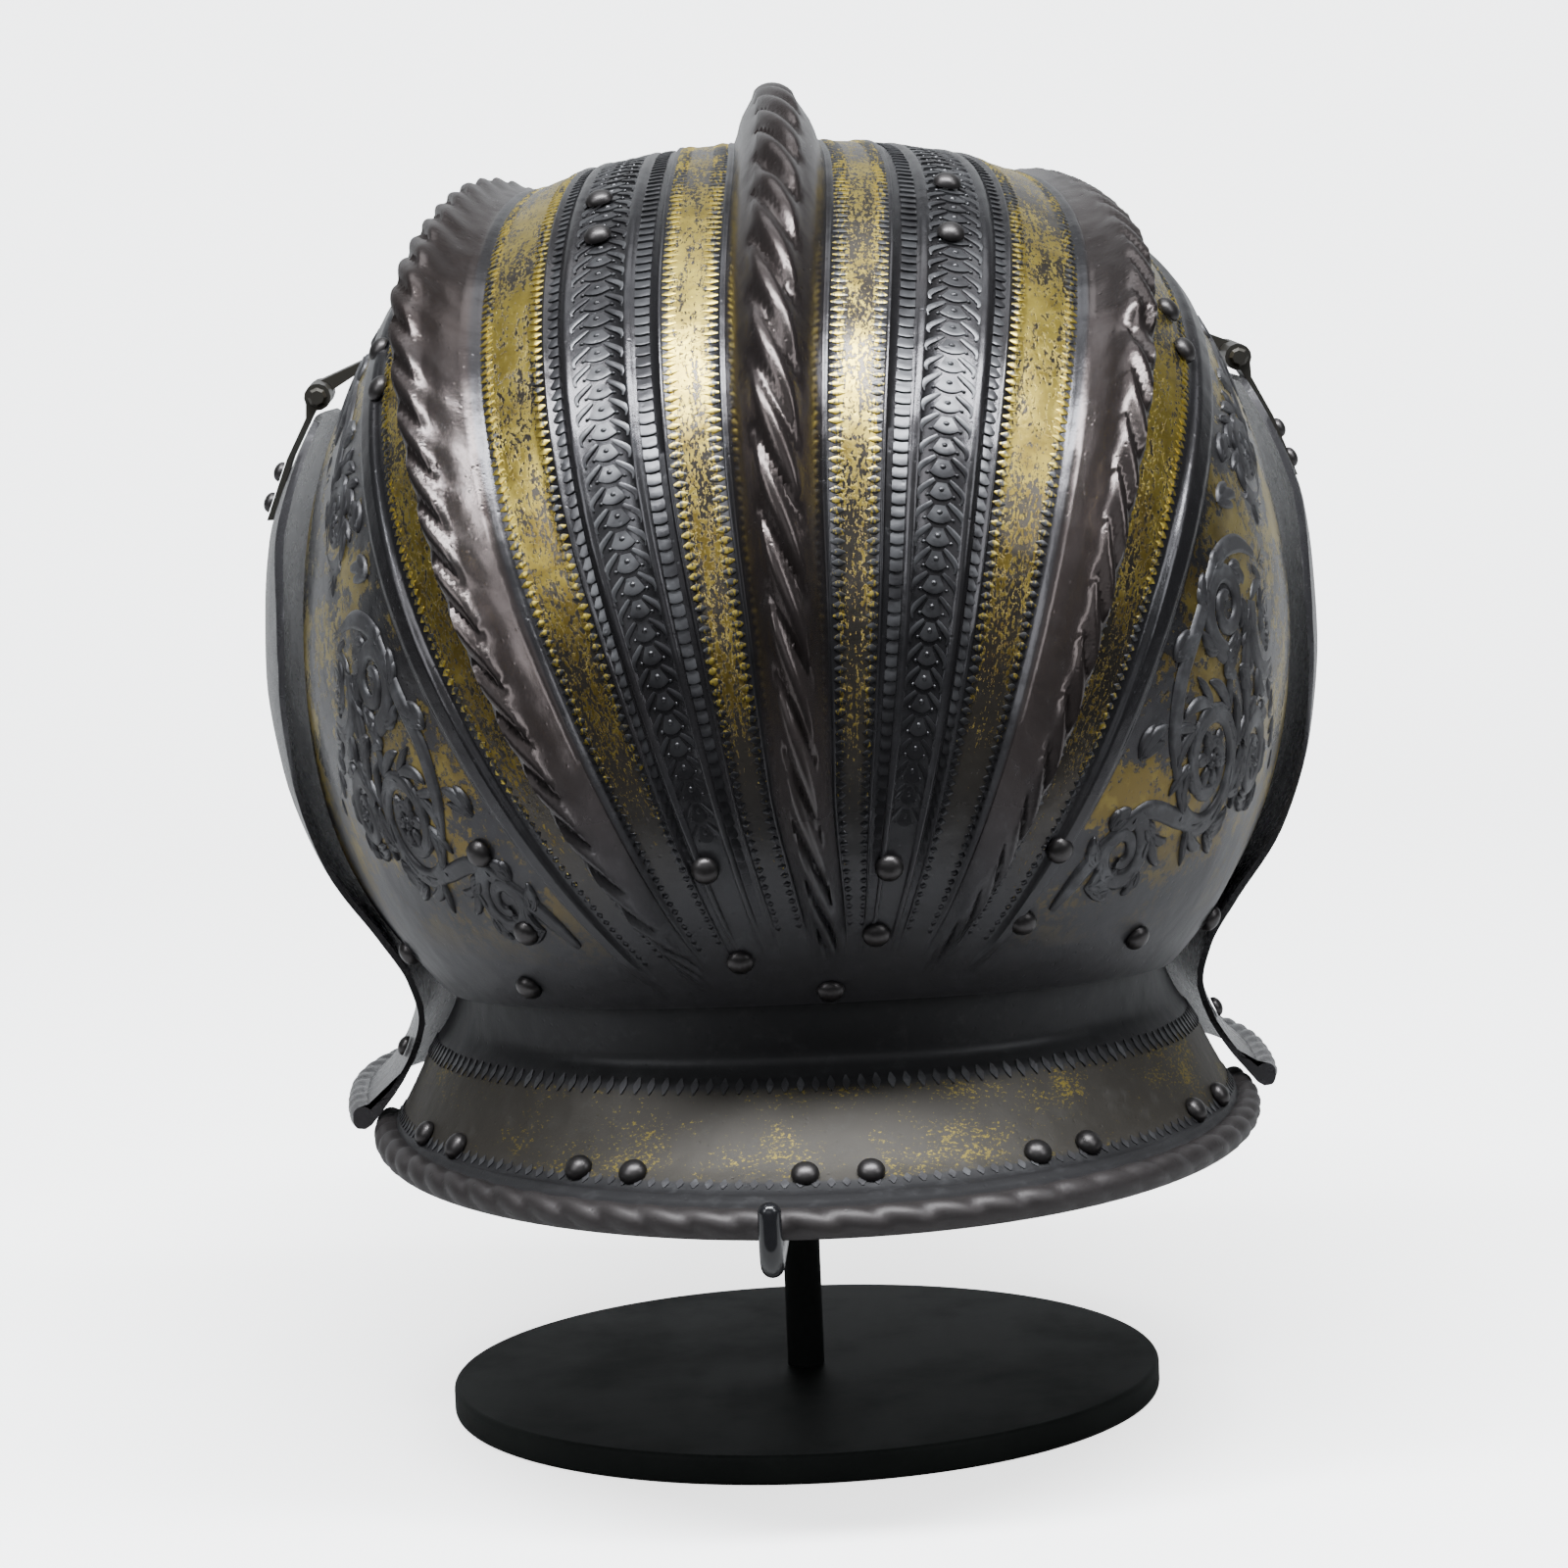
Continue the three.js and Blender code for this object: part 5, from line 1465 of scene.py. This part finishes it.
class HELMET_OT_scrolls(bpy.types.Operator):
    """Raise the leaf scrolls in the two side panels"""
    bl_idname = "helmet.scrolls"
    bl_label = "Scroll panels"

    def execute(self, context):
        form = SkullForm()
        o = settings().ornament
        strokes = scroll_strokes()
        for side, sign in SIDES:
            parts = []
            for line, widths, high in strokes:
                tangent = unit(np.gradient(line, axis=0))
                cross = np.stack([-tangent[:, 1], tangent[:, 0]], -1)
                ring = np.array([(-0.5, -0.4), (-0.44, 0.5), (-0.24, 0.98), (0, 0.62),
                                 (0.24, 0.98), (0.44, 0.5), (0.5, -0.4)])
                flat = line[:, None] + cross[:, None] * (ring[:, 0] * widths[:, None])[..., None]
                tall = ring[:, 1] * np.minimum(1, widths / 1.8)[:, None] * high
                polar = 60 + flat[..., 1] / 2.05
                reach = form.per_degree(polar, np.full_like(polar, 45.0)) * 1000
                around = o.panel_edge + 0.4 + flat[..., 0] / reach
                neck, face = form.edges(np.abs(around[:, 3]))
                ground = form.place(polar[:, 3], around[:, 3] * sign, 0 * polar[:, 3])
                ok = ((face - polar[:, 3] > 4) & (polar[:, 3] - neck > 2)
                      & (ground[:, 2] > o.panel_floor + 0.002)
                      & (around[:, 3] > o.panel_edge + 0.8))
                if ok.mean() < 0.6:
                    continue
                first, last = np.argmax(ok), len(ok) - np.argmax(ok[::-1])
                pick = slice(first, last)
                if last - first < 4:
                    continue
                body = form.place(polar[pick], sign * around[pick], tall[pick] * o.scroll_height)
                count, wide = body.shape[:2]
                index = np.arange(count * wide).reshape(count, wide)
                after = np.roll(index, -1, axis=1)
                faces = np.stack([index[:-1], after[:-1], after[1:], index[1:]], -1)
                faces = faces.reshape(-1, 4).tolist()
                faces += [index[0][::-1].tolist(), index[-1].tolist()]
                flat_points = body.reshape(-1, 3)
                centre = flat_points.mean(0)
                if volume(flat_points - centre, faces) < 0:
                    faces = [f[::-1] for f in faces]
                parts.append((flat_points, faces))
            points, faces = joined(parts)
            obj = mesh_piece("scroll_relief_" + side, points, faces, finish("scroll_steel"),
                             sharp=70)
            finished(obj, ROOT, "banded_steel")
        return {"FINISHED"}


def spiral(centre, radius, turns, start, hand, width=3.2, end_radius=1.2):
    """A volute that winds in from its radius; hand 1 winds counter-clockwise."""
    t = np.linspace(0, 1, int(26 * turns) + 8)
    angle = math.radians(start) + hand * t * turns * 2 * math.pi
    r = mix(radius, end_radius, t ** 0.85)
    line = np.stack([centre[0] + r * np.cos(angle), centre[1] + r * np.sin(angle)], -1)
    return line, mix(width, width * 0.5, t), 1.0


def stem(*points, width=3.0, taper=0.25, high=0.9):
    """A stem through points, narrowing at both ends."""
    at = np.arange(len(points))
    t = np.linspace(0, len(points) - 1, 9 * len(points))
    line = np.stack([through([(i, p[k]) for i, p in zip(at, points)], t) for k in (0, 1)], -1)
    part = t / t[-1]
    fall = np.minimum(1, taper + (1 - taper) * np.sin(math.pi * np.clip(part, 0.02, 0.98)) * 1.6)
    return line, width * fall, high


def leaf(base, angle, length, bend=0.35, width=3.4):
    """A pointed leaf that curls to one side."""
    t = np.linspace(0, 1, 12)
    turn = math.radians(angle) + bend * 2.2 * t
    step = np.stack([np.cos(turn), np.sin(turn)], -1) * length / 11
    line = np.array(base) + np.concatenate([[[0, 0]], np.cumsum(step, 0)[:-1]])
    return line, 0.25 + width * np.sin(math.pi * np.clip(t * 0.93 + 0.05, 0, 1)) ** 0.8, 1.0


def rosette(centre, radius, petals=6, turn=0.0):
    """A flower of leaves with a round eye."""
    made = []
    for k in range(petals):
        angle = turn + 360 * k / petals
        a = math.radians(angle)
        base = (centre[0] + 0.22 * radius * math.cos(a), centre[1] + 0.22 * radius * math.sin(a))
        made.append(leaf(base, angle, radius * 0.8, 0.16, radius * 0.42))
    t = np.linspace(0, 2 * math.pi, 15)
    eye = np.stack([centre[0] + 0.14 * radius * np.cos(t),
                    centre[1] + 0.14 * radius * np.sin(t)], -1)
    made.append((eye, np.full(15, 0.26 * radius), 1.25))
    return made


def frond(base, angle, length, bend, width=2.5):
    """Three pointed leaves from one place, the middle one longest."""
    return [leaf(base, angle + turn, length * size, bend * lean, width * size)
            for turn, size, lean in ((-30, 0.75, 0.3), (0, 1.0, 1.0), (30, 0.75, 1.3))]


def leafy(centre, radius, turns, start, hand, leaves=7):
    """A volute with fronds springing from the outside of its first turn."""
    made = [spiral(centre, radius, turns, start, hand, 4.4, 1.8)]
    for k in range(leaves):
        turn = math.radians(start) + hand * (k + 0.4) / leaves * 1.9 * math.pi
        r = radius * (1 - 0.05 * k)
        base = (centre[0] + r * math.cos(turn), centre[1] + r * math.sin(turn))
        made += frond(base, math.degrees(turn) + hand * 60, radius * 0.85, hand * 0.55)
    return made


def scroll_strokes():
    """The rinceau of one panel, in millimetres outward from its edge and up from its middle."""
    made = []
    for centre, radius, turns, start, hand, leaves in (
            ((24, -5), 12, 1.9, -100, 1, 8), ((11, -31), 7, 1.5, 100, -1, 5),
            ((43, 9), 8.5, 1.5, 200, -1, 6), ((13, 19), 8, 1.5, -60, -1, 6),
            ((32, 31), 10.5, 1.6, 200, 1, 7), ((13, 56), 9.5, 1.6, -90, 1, 7),
            ((35, 62), 9, 1.5, 160, -1, 6), ((57, 34), 9, 1.5, 210, 1, 6),
            ((14, 90), 9, 1.5, -80, -1, 6), ((36, 92), 9, 1.5, 190, 1, 6),
            ((58, 66), 8, 1.4, 180, -1, 5)):
        made += leafy(centre, radius, turns, start, hand, leaves)
    made += [
        stem((4, -47), (5, -38), (12, -22), (22, -18), (34, -12), width=3.8),
        stem((22, -17), (10, -8), (6, 4), (6, 22), (12, 32), (20, 36), width=3.8),
        stem((40, -4), (36, 8), (26, 16), (22, 26), width=3.8),
        stem((22, 36), (24, 46), (12, 68), (6, 78), (8, 94), width=3.8),
        stem((26, 46), (40, 47), (50, 50), (60, 56), width=3.6),
        stem((24, 70), (28, 80), (26, 98), (14, 104), width=3.6),
        *rosette((24, -5), 6, 6, 30),
        *rosette((32, 31), 5.5, 6, 0),
        *rosette((13, 56), 5, 6, 20),
        *rosette((23, 76), 6.5, 7, 0),
        *rosette((43, 9), 4.5, 5, 20),
        *rosette((50, 49), 5, 5, 50),
    ]
    for base, angle, length, bend in (
            ((8, -40), 30, 9, 0.5), ((16, -24), -50, 8, 0.5), ((4, -16), 90, 9, -0.4),
            ((3, 2), 80, 9, -0.4), ((34, -14), 30, 9, 0.4), ((3, 34), 70, 9, -0.4),
            ((19, 9), 60, 7, 0.4), ((24, 14), 20, 8, -0.4), ((3, 44), 100, 8, -0.3),
            ((24, 56), 60, 8, 0.4), ((3, 68), 60, 8, -0.4), ((46, 22), 60, 8, 0.4),
            ((46, 60), 100, 8, 0.4), ((4, 104), 70, 8, -0.4), ((24, 104), 20, 8, 0.4)):
        made += frond(base, angle, length, bend)
    return made


def node_points(name):
    mesh = frame["nodes"][name].data
    points = np.empty(len(mesh.vertices) * 3)
    mesh.vertices.foreach_get("co", points)
    return points.reshape(-1, 3)


def rivet_seat(name):
    """The middle, outward way, radius and height of a rivet's frame node."""
    mesh = frame["nodes"][name].data
    points = node_points(name)
    normals = np.array([p.normal[:] for p in mesh.polygons])
    alike = (normals @ normals.T > 0.999).sum(1)
    flat = normals[np.argmax(alike)]
    out = -flat
    depth = points @ out
    base = points[depth < depth.min() + 1e-5]
    centre = (base.min(0) + base.max(0)) / 2
    radius = np.linalg.norm(base - centre, axis=1).max()
    return centre, out, radius, depth.max() - depth.min()


class HELMET_OT_rivets(bpy.types.Operator):
    """Set a domed rivet on each of the frame's rivet seats"""
    bl_idname = "helmet.rivets"
    bl_label = "Rivets"

    def execute(self, context):
        tree = row_tree("rivet_heads", False)
        for body, nodes in frame["record"]["behaviour"]["bodies"].items():
            names = [n for n in nodes if n.startswith("rivet")]
            seats = [rivet_seat(n) for n in names]
            rows = [(np.array([s[0] for s in seats]), np.array([s[1] for s in seats]),
                     np.array([[s[2], s[2], s[3]] for s in seats]))]
            obj = row_piece("rivet_heads_" + body, tree, rows, dome(1.0, 1.0),
                            finish("rivet_steel"), None, 0.03)
            finished(obj, body, "rivet_steel", *names)
        return {"FINISHED"}


class HELMET_OT_hinges(bpy.types.Operator):
    """Give the hinge leaves and pins their finish"""
    bl_idname = "helmet.hinges"
    bl_label = "Hinges"

    def execute(self, context):
        for name, obj in frame["nodes"].items():
            if name.startswith("hinge"):
                obj.data.materials.clear()
                obj.data.materials.append(finish("hinge_steel"))
        return {"FINISHED"}


class HELMET_OT_stand(bpy.types.Operator):
    """Build the disc, post, pad and hook of the stand"""
    bl_idname = "helmet.stand"
    bl_label = "Stand"

    def execute(self, context):
        s = settings().stand
        paint = finish("stand_paint")
        (x0, _, z0), (x1, _, z1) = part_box("stand_disc")
        radius, r = (x1 - x0) / 2, s.edge_round
        corner = lambda z, way: [
            (radius - r + r * math.cos(t), z - way * r + way * r * math.sin(t))
            for t in np.linspace(0, math.pi / 2, 6)]
        profile = [(0, z0)] + corner(z0, -1)[::-1] + corner(z1, 1) + [(0, z1)]
        disc = mesh_piece("stand_disc_turned", *turned(profile, (0, 0), 160), paint, sharp=30)
        finished(disc, ROOT, "stand_black", "stand_disc")
        (x0, _, z0), (x1, _, z1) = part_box("stand_post")
        profile = [(0, z0), (x1, z0), (x1, z1), (0, z1)]
        post = mesh_piece("stand_post_turned", *turned(profile, (0, 0), 48), paint, sharp=30)
        finished(post, ROOT, "stand_black", "stand_post")
        (x0, _, z0), (x1, _, z1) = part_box("stand_pad")
        top = lambda q: z1 - s.pad_dome + math.sqrt(s.pad_dome ** 2 - q * q)
        profile = ([(0, z0), (x1 - 0.001, z0), (x1, z0 + 0.001), (x1, top(x1) - 0.001)]
                   + [(x1 * q, top(x1 * q)) for q in (0.97, 0.8, 0.6, 0.4, 0.2)] + [(0, z1)])
        pad = mesh_piece("stand_pad_turned", *turned(profile, (0, 0), 72), paint, sharp=40)
        finished(pad, ROOT, "stand_black", "stand_pad")
        finished(self.hook(s), ROOT, "hook_black", "stand_hook")
        return {"FINISHED"}

    def hook(self, s):
        """A round rod out from the post, bent up behind the rim, with a rounded end."""
        points = node_points("stand_hook")
        low, high = points.min(0), points.max(0)
        rod = s.rod_radius
        start = points[np.abs(points[:, 1] - low[1]) < 0.0006].mean(0)
        tip = points[points[:, 2] > high[2] - 1e-5].mean(0)
        way = np.array([tip[0] - start[0], tip[1] - start[1], 0])
        length = np.linalg.norm(way)
        way /= length
        level = low[2] + rod
        begin = np.array([start[0], start[1], level])
        bend = s.bend_radius
        line = [begin + way * q for q in np.linspace(0, length - bend, 12)]
        for t in np.linspace(0, math.pi / 2, 12)[1:]:
            line.append(begin + way * (length - bend + bend * math.sin(t))
                        + np.array([0, 0, bend * (1 - math.cos(t))]))
        top = high[2] - rod * 0.9
        line += [np.array([line[-1][0], line[-1][1], z])
                 for z in np.linspace(level + bend, top, 6)[1:]]
        sizes = [1.0] * len(line)
        for t in np.linspace(0, math.pi / 2, 7)[1:]:
            line.append(np.array([line[-1][0], line[-1][1], top + rod * 0.9 * math.sin(t)]))
            sizes.append(max(math.cos(t), 0.05))
        line = np.array(line)
        tangent = unit(np.gradient(line, axis=0))
        side = np.tile(np.cross(way, [0, 0, 1.0]), (len(line), 1))
        out = np.cross(tangent, side)
        turn = np.linspace(0, 2 * math.pi, 24, endpoint=False)
        ring = np.stack([np.cos(turn), np.sin(turn)], -1) * rod
        rings = [ring * q for q in sizes]
        return mesh_piece("stand_hook_rod", *swept(line, side, out, rings),
                          finish("hook_sleeve"), sharp=50)


class HELMET_OT_stage(bpy.types.Operator):
    """Set the floor, backdrop, lights and camera"""
    bl_idname = "helmet.stage"
    bl_label = "Stage"

    def execute(self, context):
        g = settings().stage
        profile = [(0.24, 0.0), (-0.9, 0.0)]
        for t in np.linspace(0, math.pi / 2, 14)[1:]:
            profile.append((-0.9 - 0.8 * math.sin(t), 0.8 - 0.8 * math.cos(t)))
        profile.append((-1.7, 2.6))
        points, faces = [], []
        for y, z in profile:
            points += [(-2.6, y, z - 0.0002), (2.6, y, z - 0.0002)]
        for k in range(len(profile) - 1):
            faces.append([2 * k, 2 * k + 1, 2 * k + 3, 2 * k + 2])
        floor = mesh_piece("pale_sweep", np.array(points), faces, finish("pale_floor"))
        if floor.data.polygons[0].normal.z < 0:
            floor.data.flip_normals()
        floor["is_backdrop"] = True
        turn, pitch, roll = (math.radians(v) for v in (g.turn, g.pitch, g.roll))
        at = Vector((g.distance * math.sin(turn), g.distance * math.cos(turn), g.height))
        look = Vector((-math.sin(turn) * math.cos(pitch), -math.cos(turn) * math.cos(pitch),
                       -math.sin(pitch)))
        right = Vector((-math.cos(turn), math.sin(turn), 0))
        up = right.cross(look)
        side = right * math.cos(roll) - up * math.sin(roll)
        high = right * math.sin(roll) + up * math.cos(roll)
        camera = bpy.data.objects.new("camera", bpy.data.cameras.new("camera"))
        bpy.context.collection.objects.link(camera)
        camera.matrix_world = Matrix((
            (side.x, high.x, -look.x, at.x), (side.y, high.y, -look.y, at.y),
            (side.z, high.z, -look.z, at.z), (0, 0, 0, 1)))
        camera.data.lens = g.lens
        camera.data.sensor_width = 36
        camera.data.shift_x = 0.00125
        camera.data.clip_start = 0.05
        bpy.context.scene.camera = camera
        for name, place, aim, size, power, spread in (
                ("top_softbox", (0.0, 0.45, 1.35), (0, 0.03, 0.2), (1.4, 0.22), 72.0, 180),
                ("front_fill", (0.3, 2.0, 0.9), (0, 0, 0.17), (1.6, 1.0), 4.0, 180),
                ("left_fill", (1.25, 0.9, 1.05), (0, 0, 0.16), (0.6, 0.8), 9.0, 180),
                ("right_fill", (-1.25, 0.9, 1.05), (0, 0, 0.16), (0.6, 0.8), 9.0, 180),
                ("backdrop_light", (0.0, -0.8, 2.2), (0, -1.5, 0.6), (2.4, 1.0), 30.0, 110)):
            data = bpy.data.lights.new(name, "AREA")
            data.shape, data.size, data.size_y = "RECTANGLE", size[0], size[1]
            data.energy = power
            data.color = (0.94, 0.97, 1.0)
            data.spread = math.radians(spread)
            lamp = bpy.data.objects.new(name, data)
            bpy.context.collection.objects.link(lamp)
            lamp.location = place
            lamp.rotation_euler = (Vector(aim) - Vector(place)).to_track_quat("-Z", "Y").to_euler()
        world = bpy.data.worlds.new("soft_room")
        bpy.context.scene.world = world
        world.use_nodes = True
        tree = world.node_tree
        tree.nodes.clear()
        sky, path = tree.nodes.new("ShaderNodeBackground"), tree.nodes.new("ShaderNodeLightPath")
        sky.inputs["Color"].default_value = (0.93, 0.96, 1.0, 1)
        part, output = tree.nodes.new("ShaderNodeMapRange"), tree.nodes.new("ShaderNodeOutputWorld")
        part.inputs["To Min"].default_value = 0.05
        part.inputs["To Max"].default_value = 0.5
        tree.links.new(path.outputs["Is Diffuse Ray"], part.inputs["Value"])
        tree.links.new(part.outputs[0], sky.inputs["Strength"])
        tree.links.new(sky.outputs[0], output.inputs[0])
        return {"FINISHED"}


OPERATORS = (
    HELMET_OT_skull, HELMET_OT_bands, HELMET_OT_scrolls, HELMET_OT_nape_plate,
    HELMET_OT_cheekpieces, HELMET_OT_peak, HELMET_OT_rivets, HELMET_OT_hinges, HELMET_OT_stand,
    HELMET_OT_stage,
)


class HELMET_PT_panel(bpy.types.Panel):
    """Sizes, colours and buttons of the helmet"""
    bl_idname = "HELMET_PT_panel"
    bl_label = "Parade helmet"
    bl_space_type = "VIEW_3D"
    bl_region_type = "UI"
    bl_category = "Helmet"

    def draw(self, context):
        for operator in OPERATORS:
            self.layout.operator(operator.bl_idname)
        for key in HelmetSettings.__annotations__:
            box = self.layout.box()
            box.label(text=key.capitalize())
            group = getattr(context.scene.parade_helmet, key)
            for item in type(group).__annotations__:
                box.prop(group, item)


CLASSES = (
    SkullSizes, CombSizes, OrnamentSizes, NapeSizes, CheekSizes, PeakSizes, StandSizes,
    FinishColours, StageSettings, HelmetSettings, *OPERATORS, HELMET_PT_panel,
)


def register():
    for item in CLASSES:
        bpy.utils.register_class(item)
    bpy.types.Scene.parade_helmet = PointerProperty(type=HelmetSettings)


def unregister():
    del bpy.types.Scene.parade_helmet
    for item in reversed(CLASSES):
        bpy.utils.unregister_class(item)


def main():
    register()
    for operator in OPERATORS:
        group, name = operator.bl_idname.split(".")
        getattr(getattr(bpy.ops, group), name)()
    boxes = {"cad": [list(corner) for corner in cad_box],
             "visual": [list(corner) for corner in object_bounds()]}


if __name__ == "__main__":
    main()
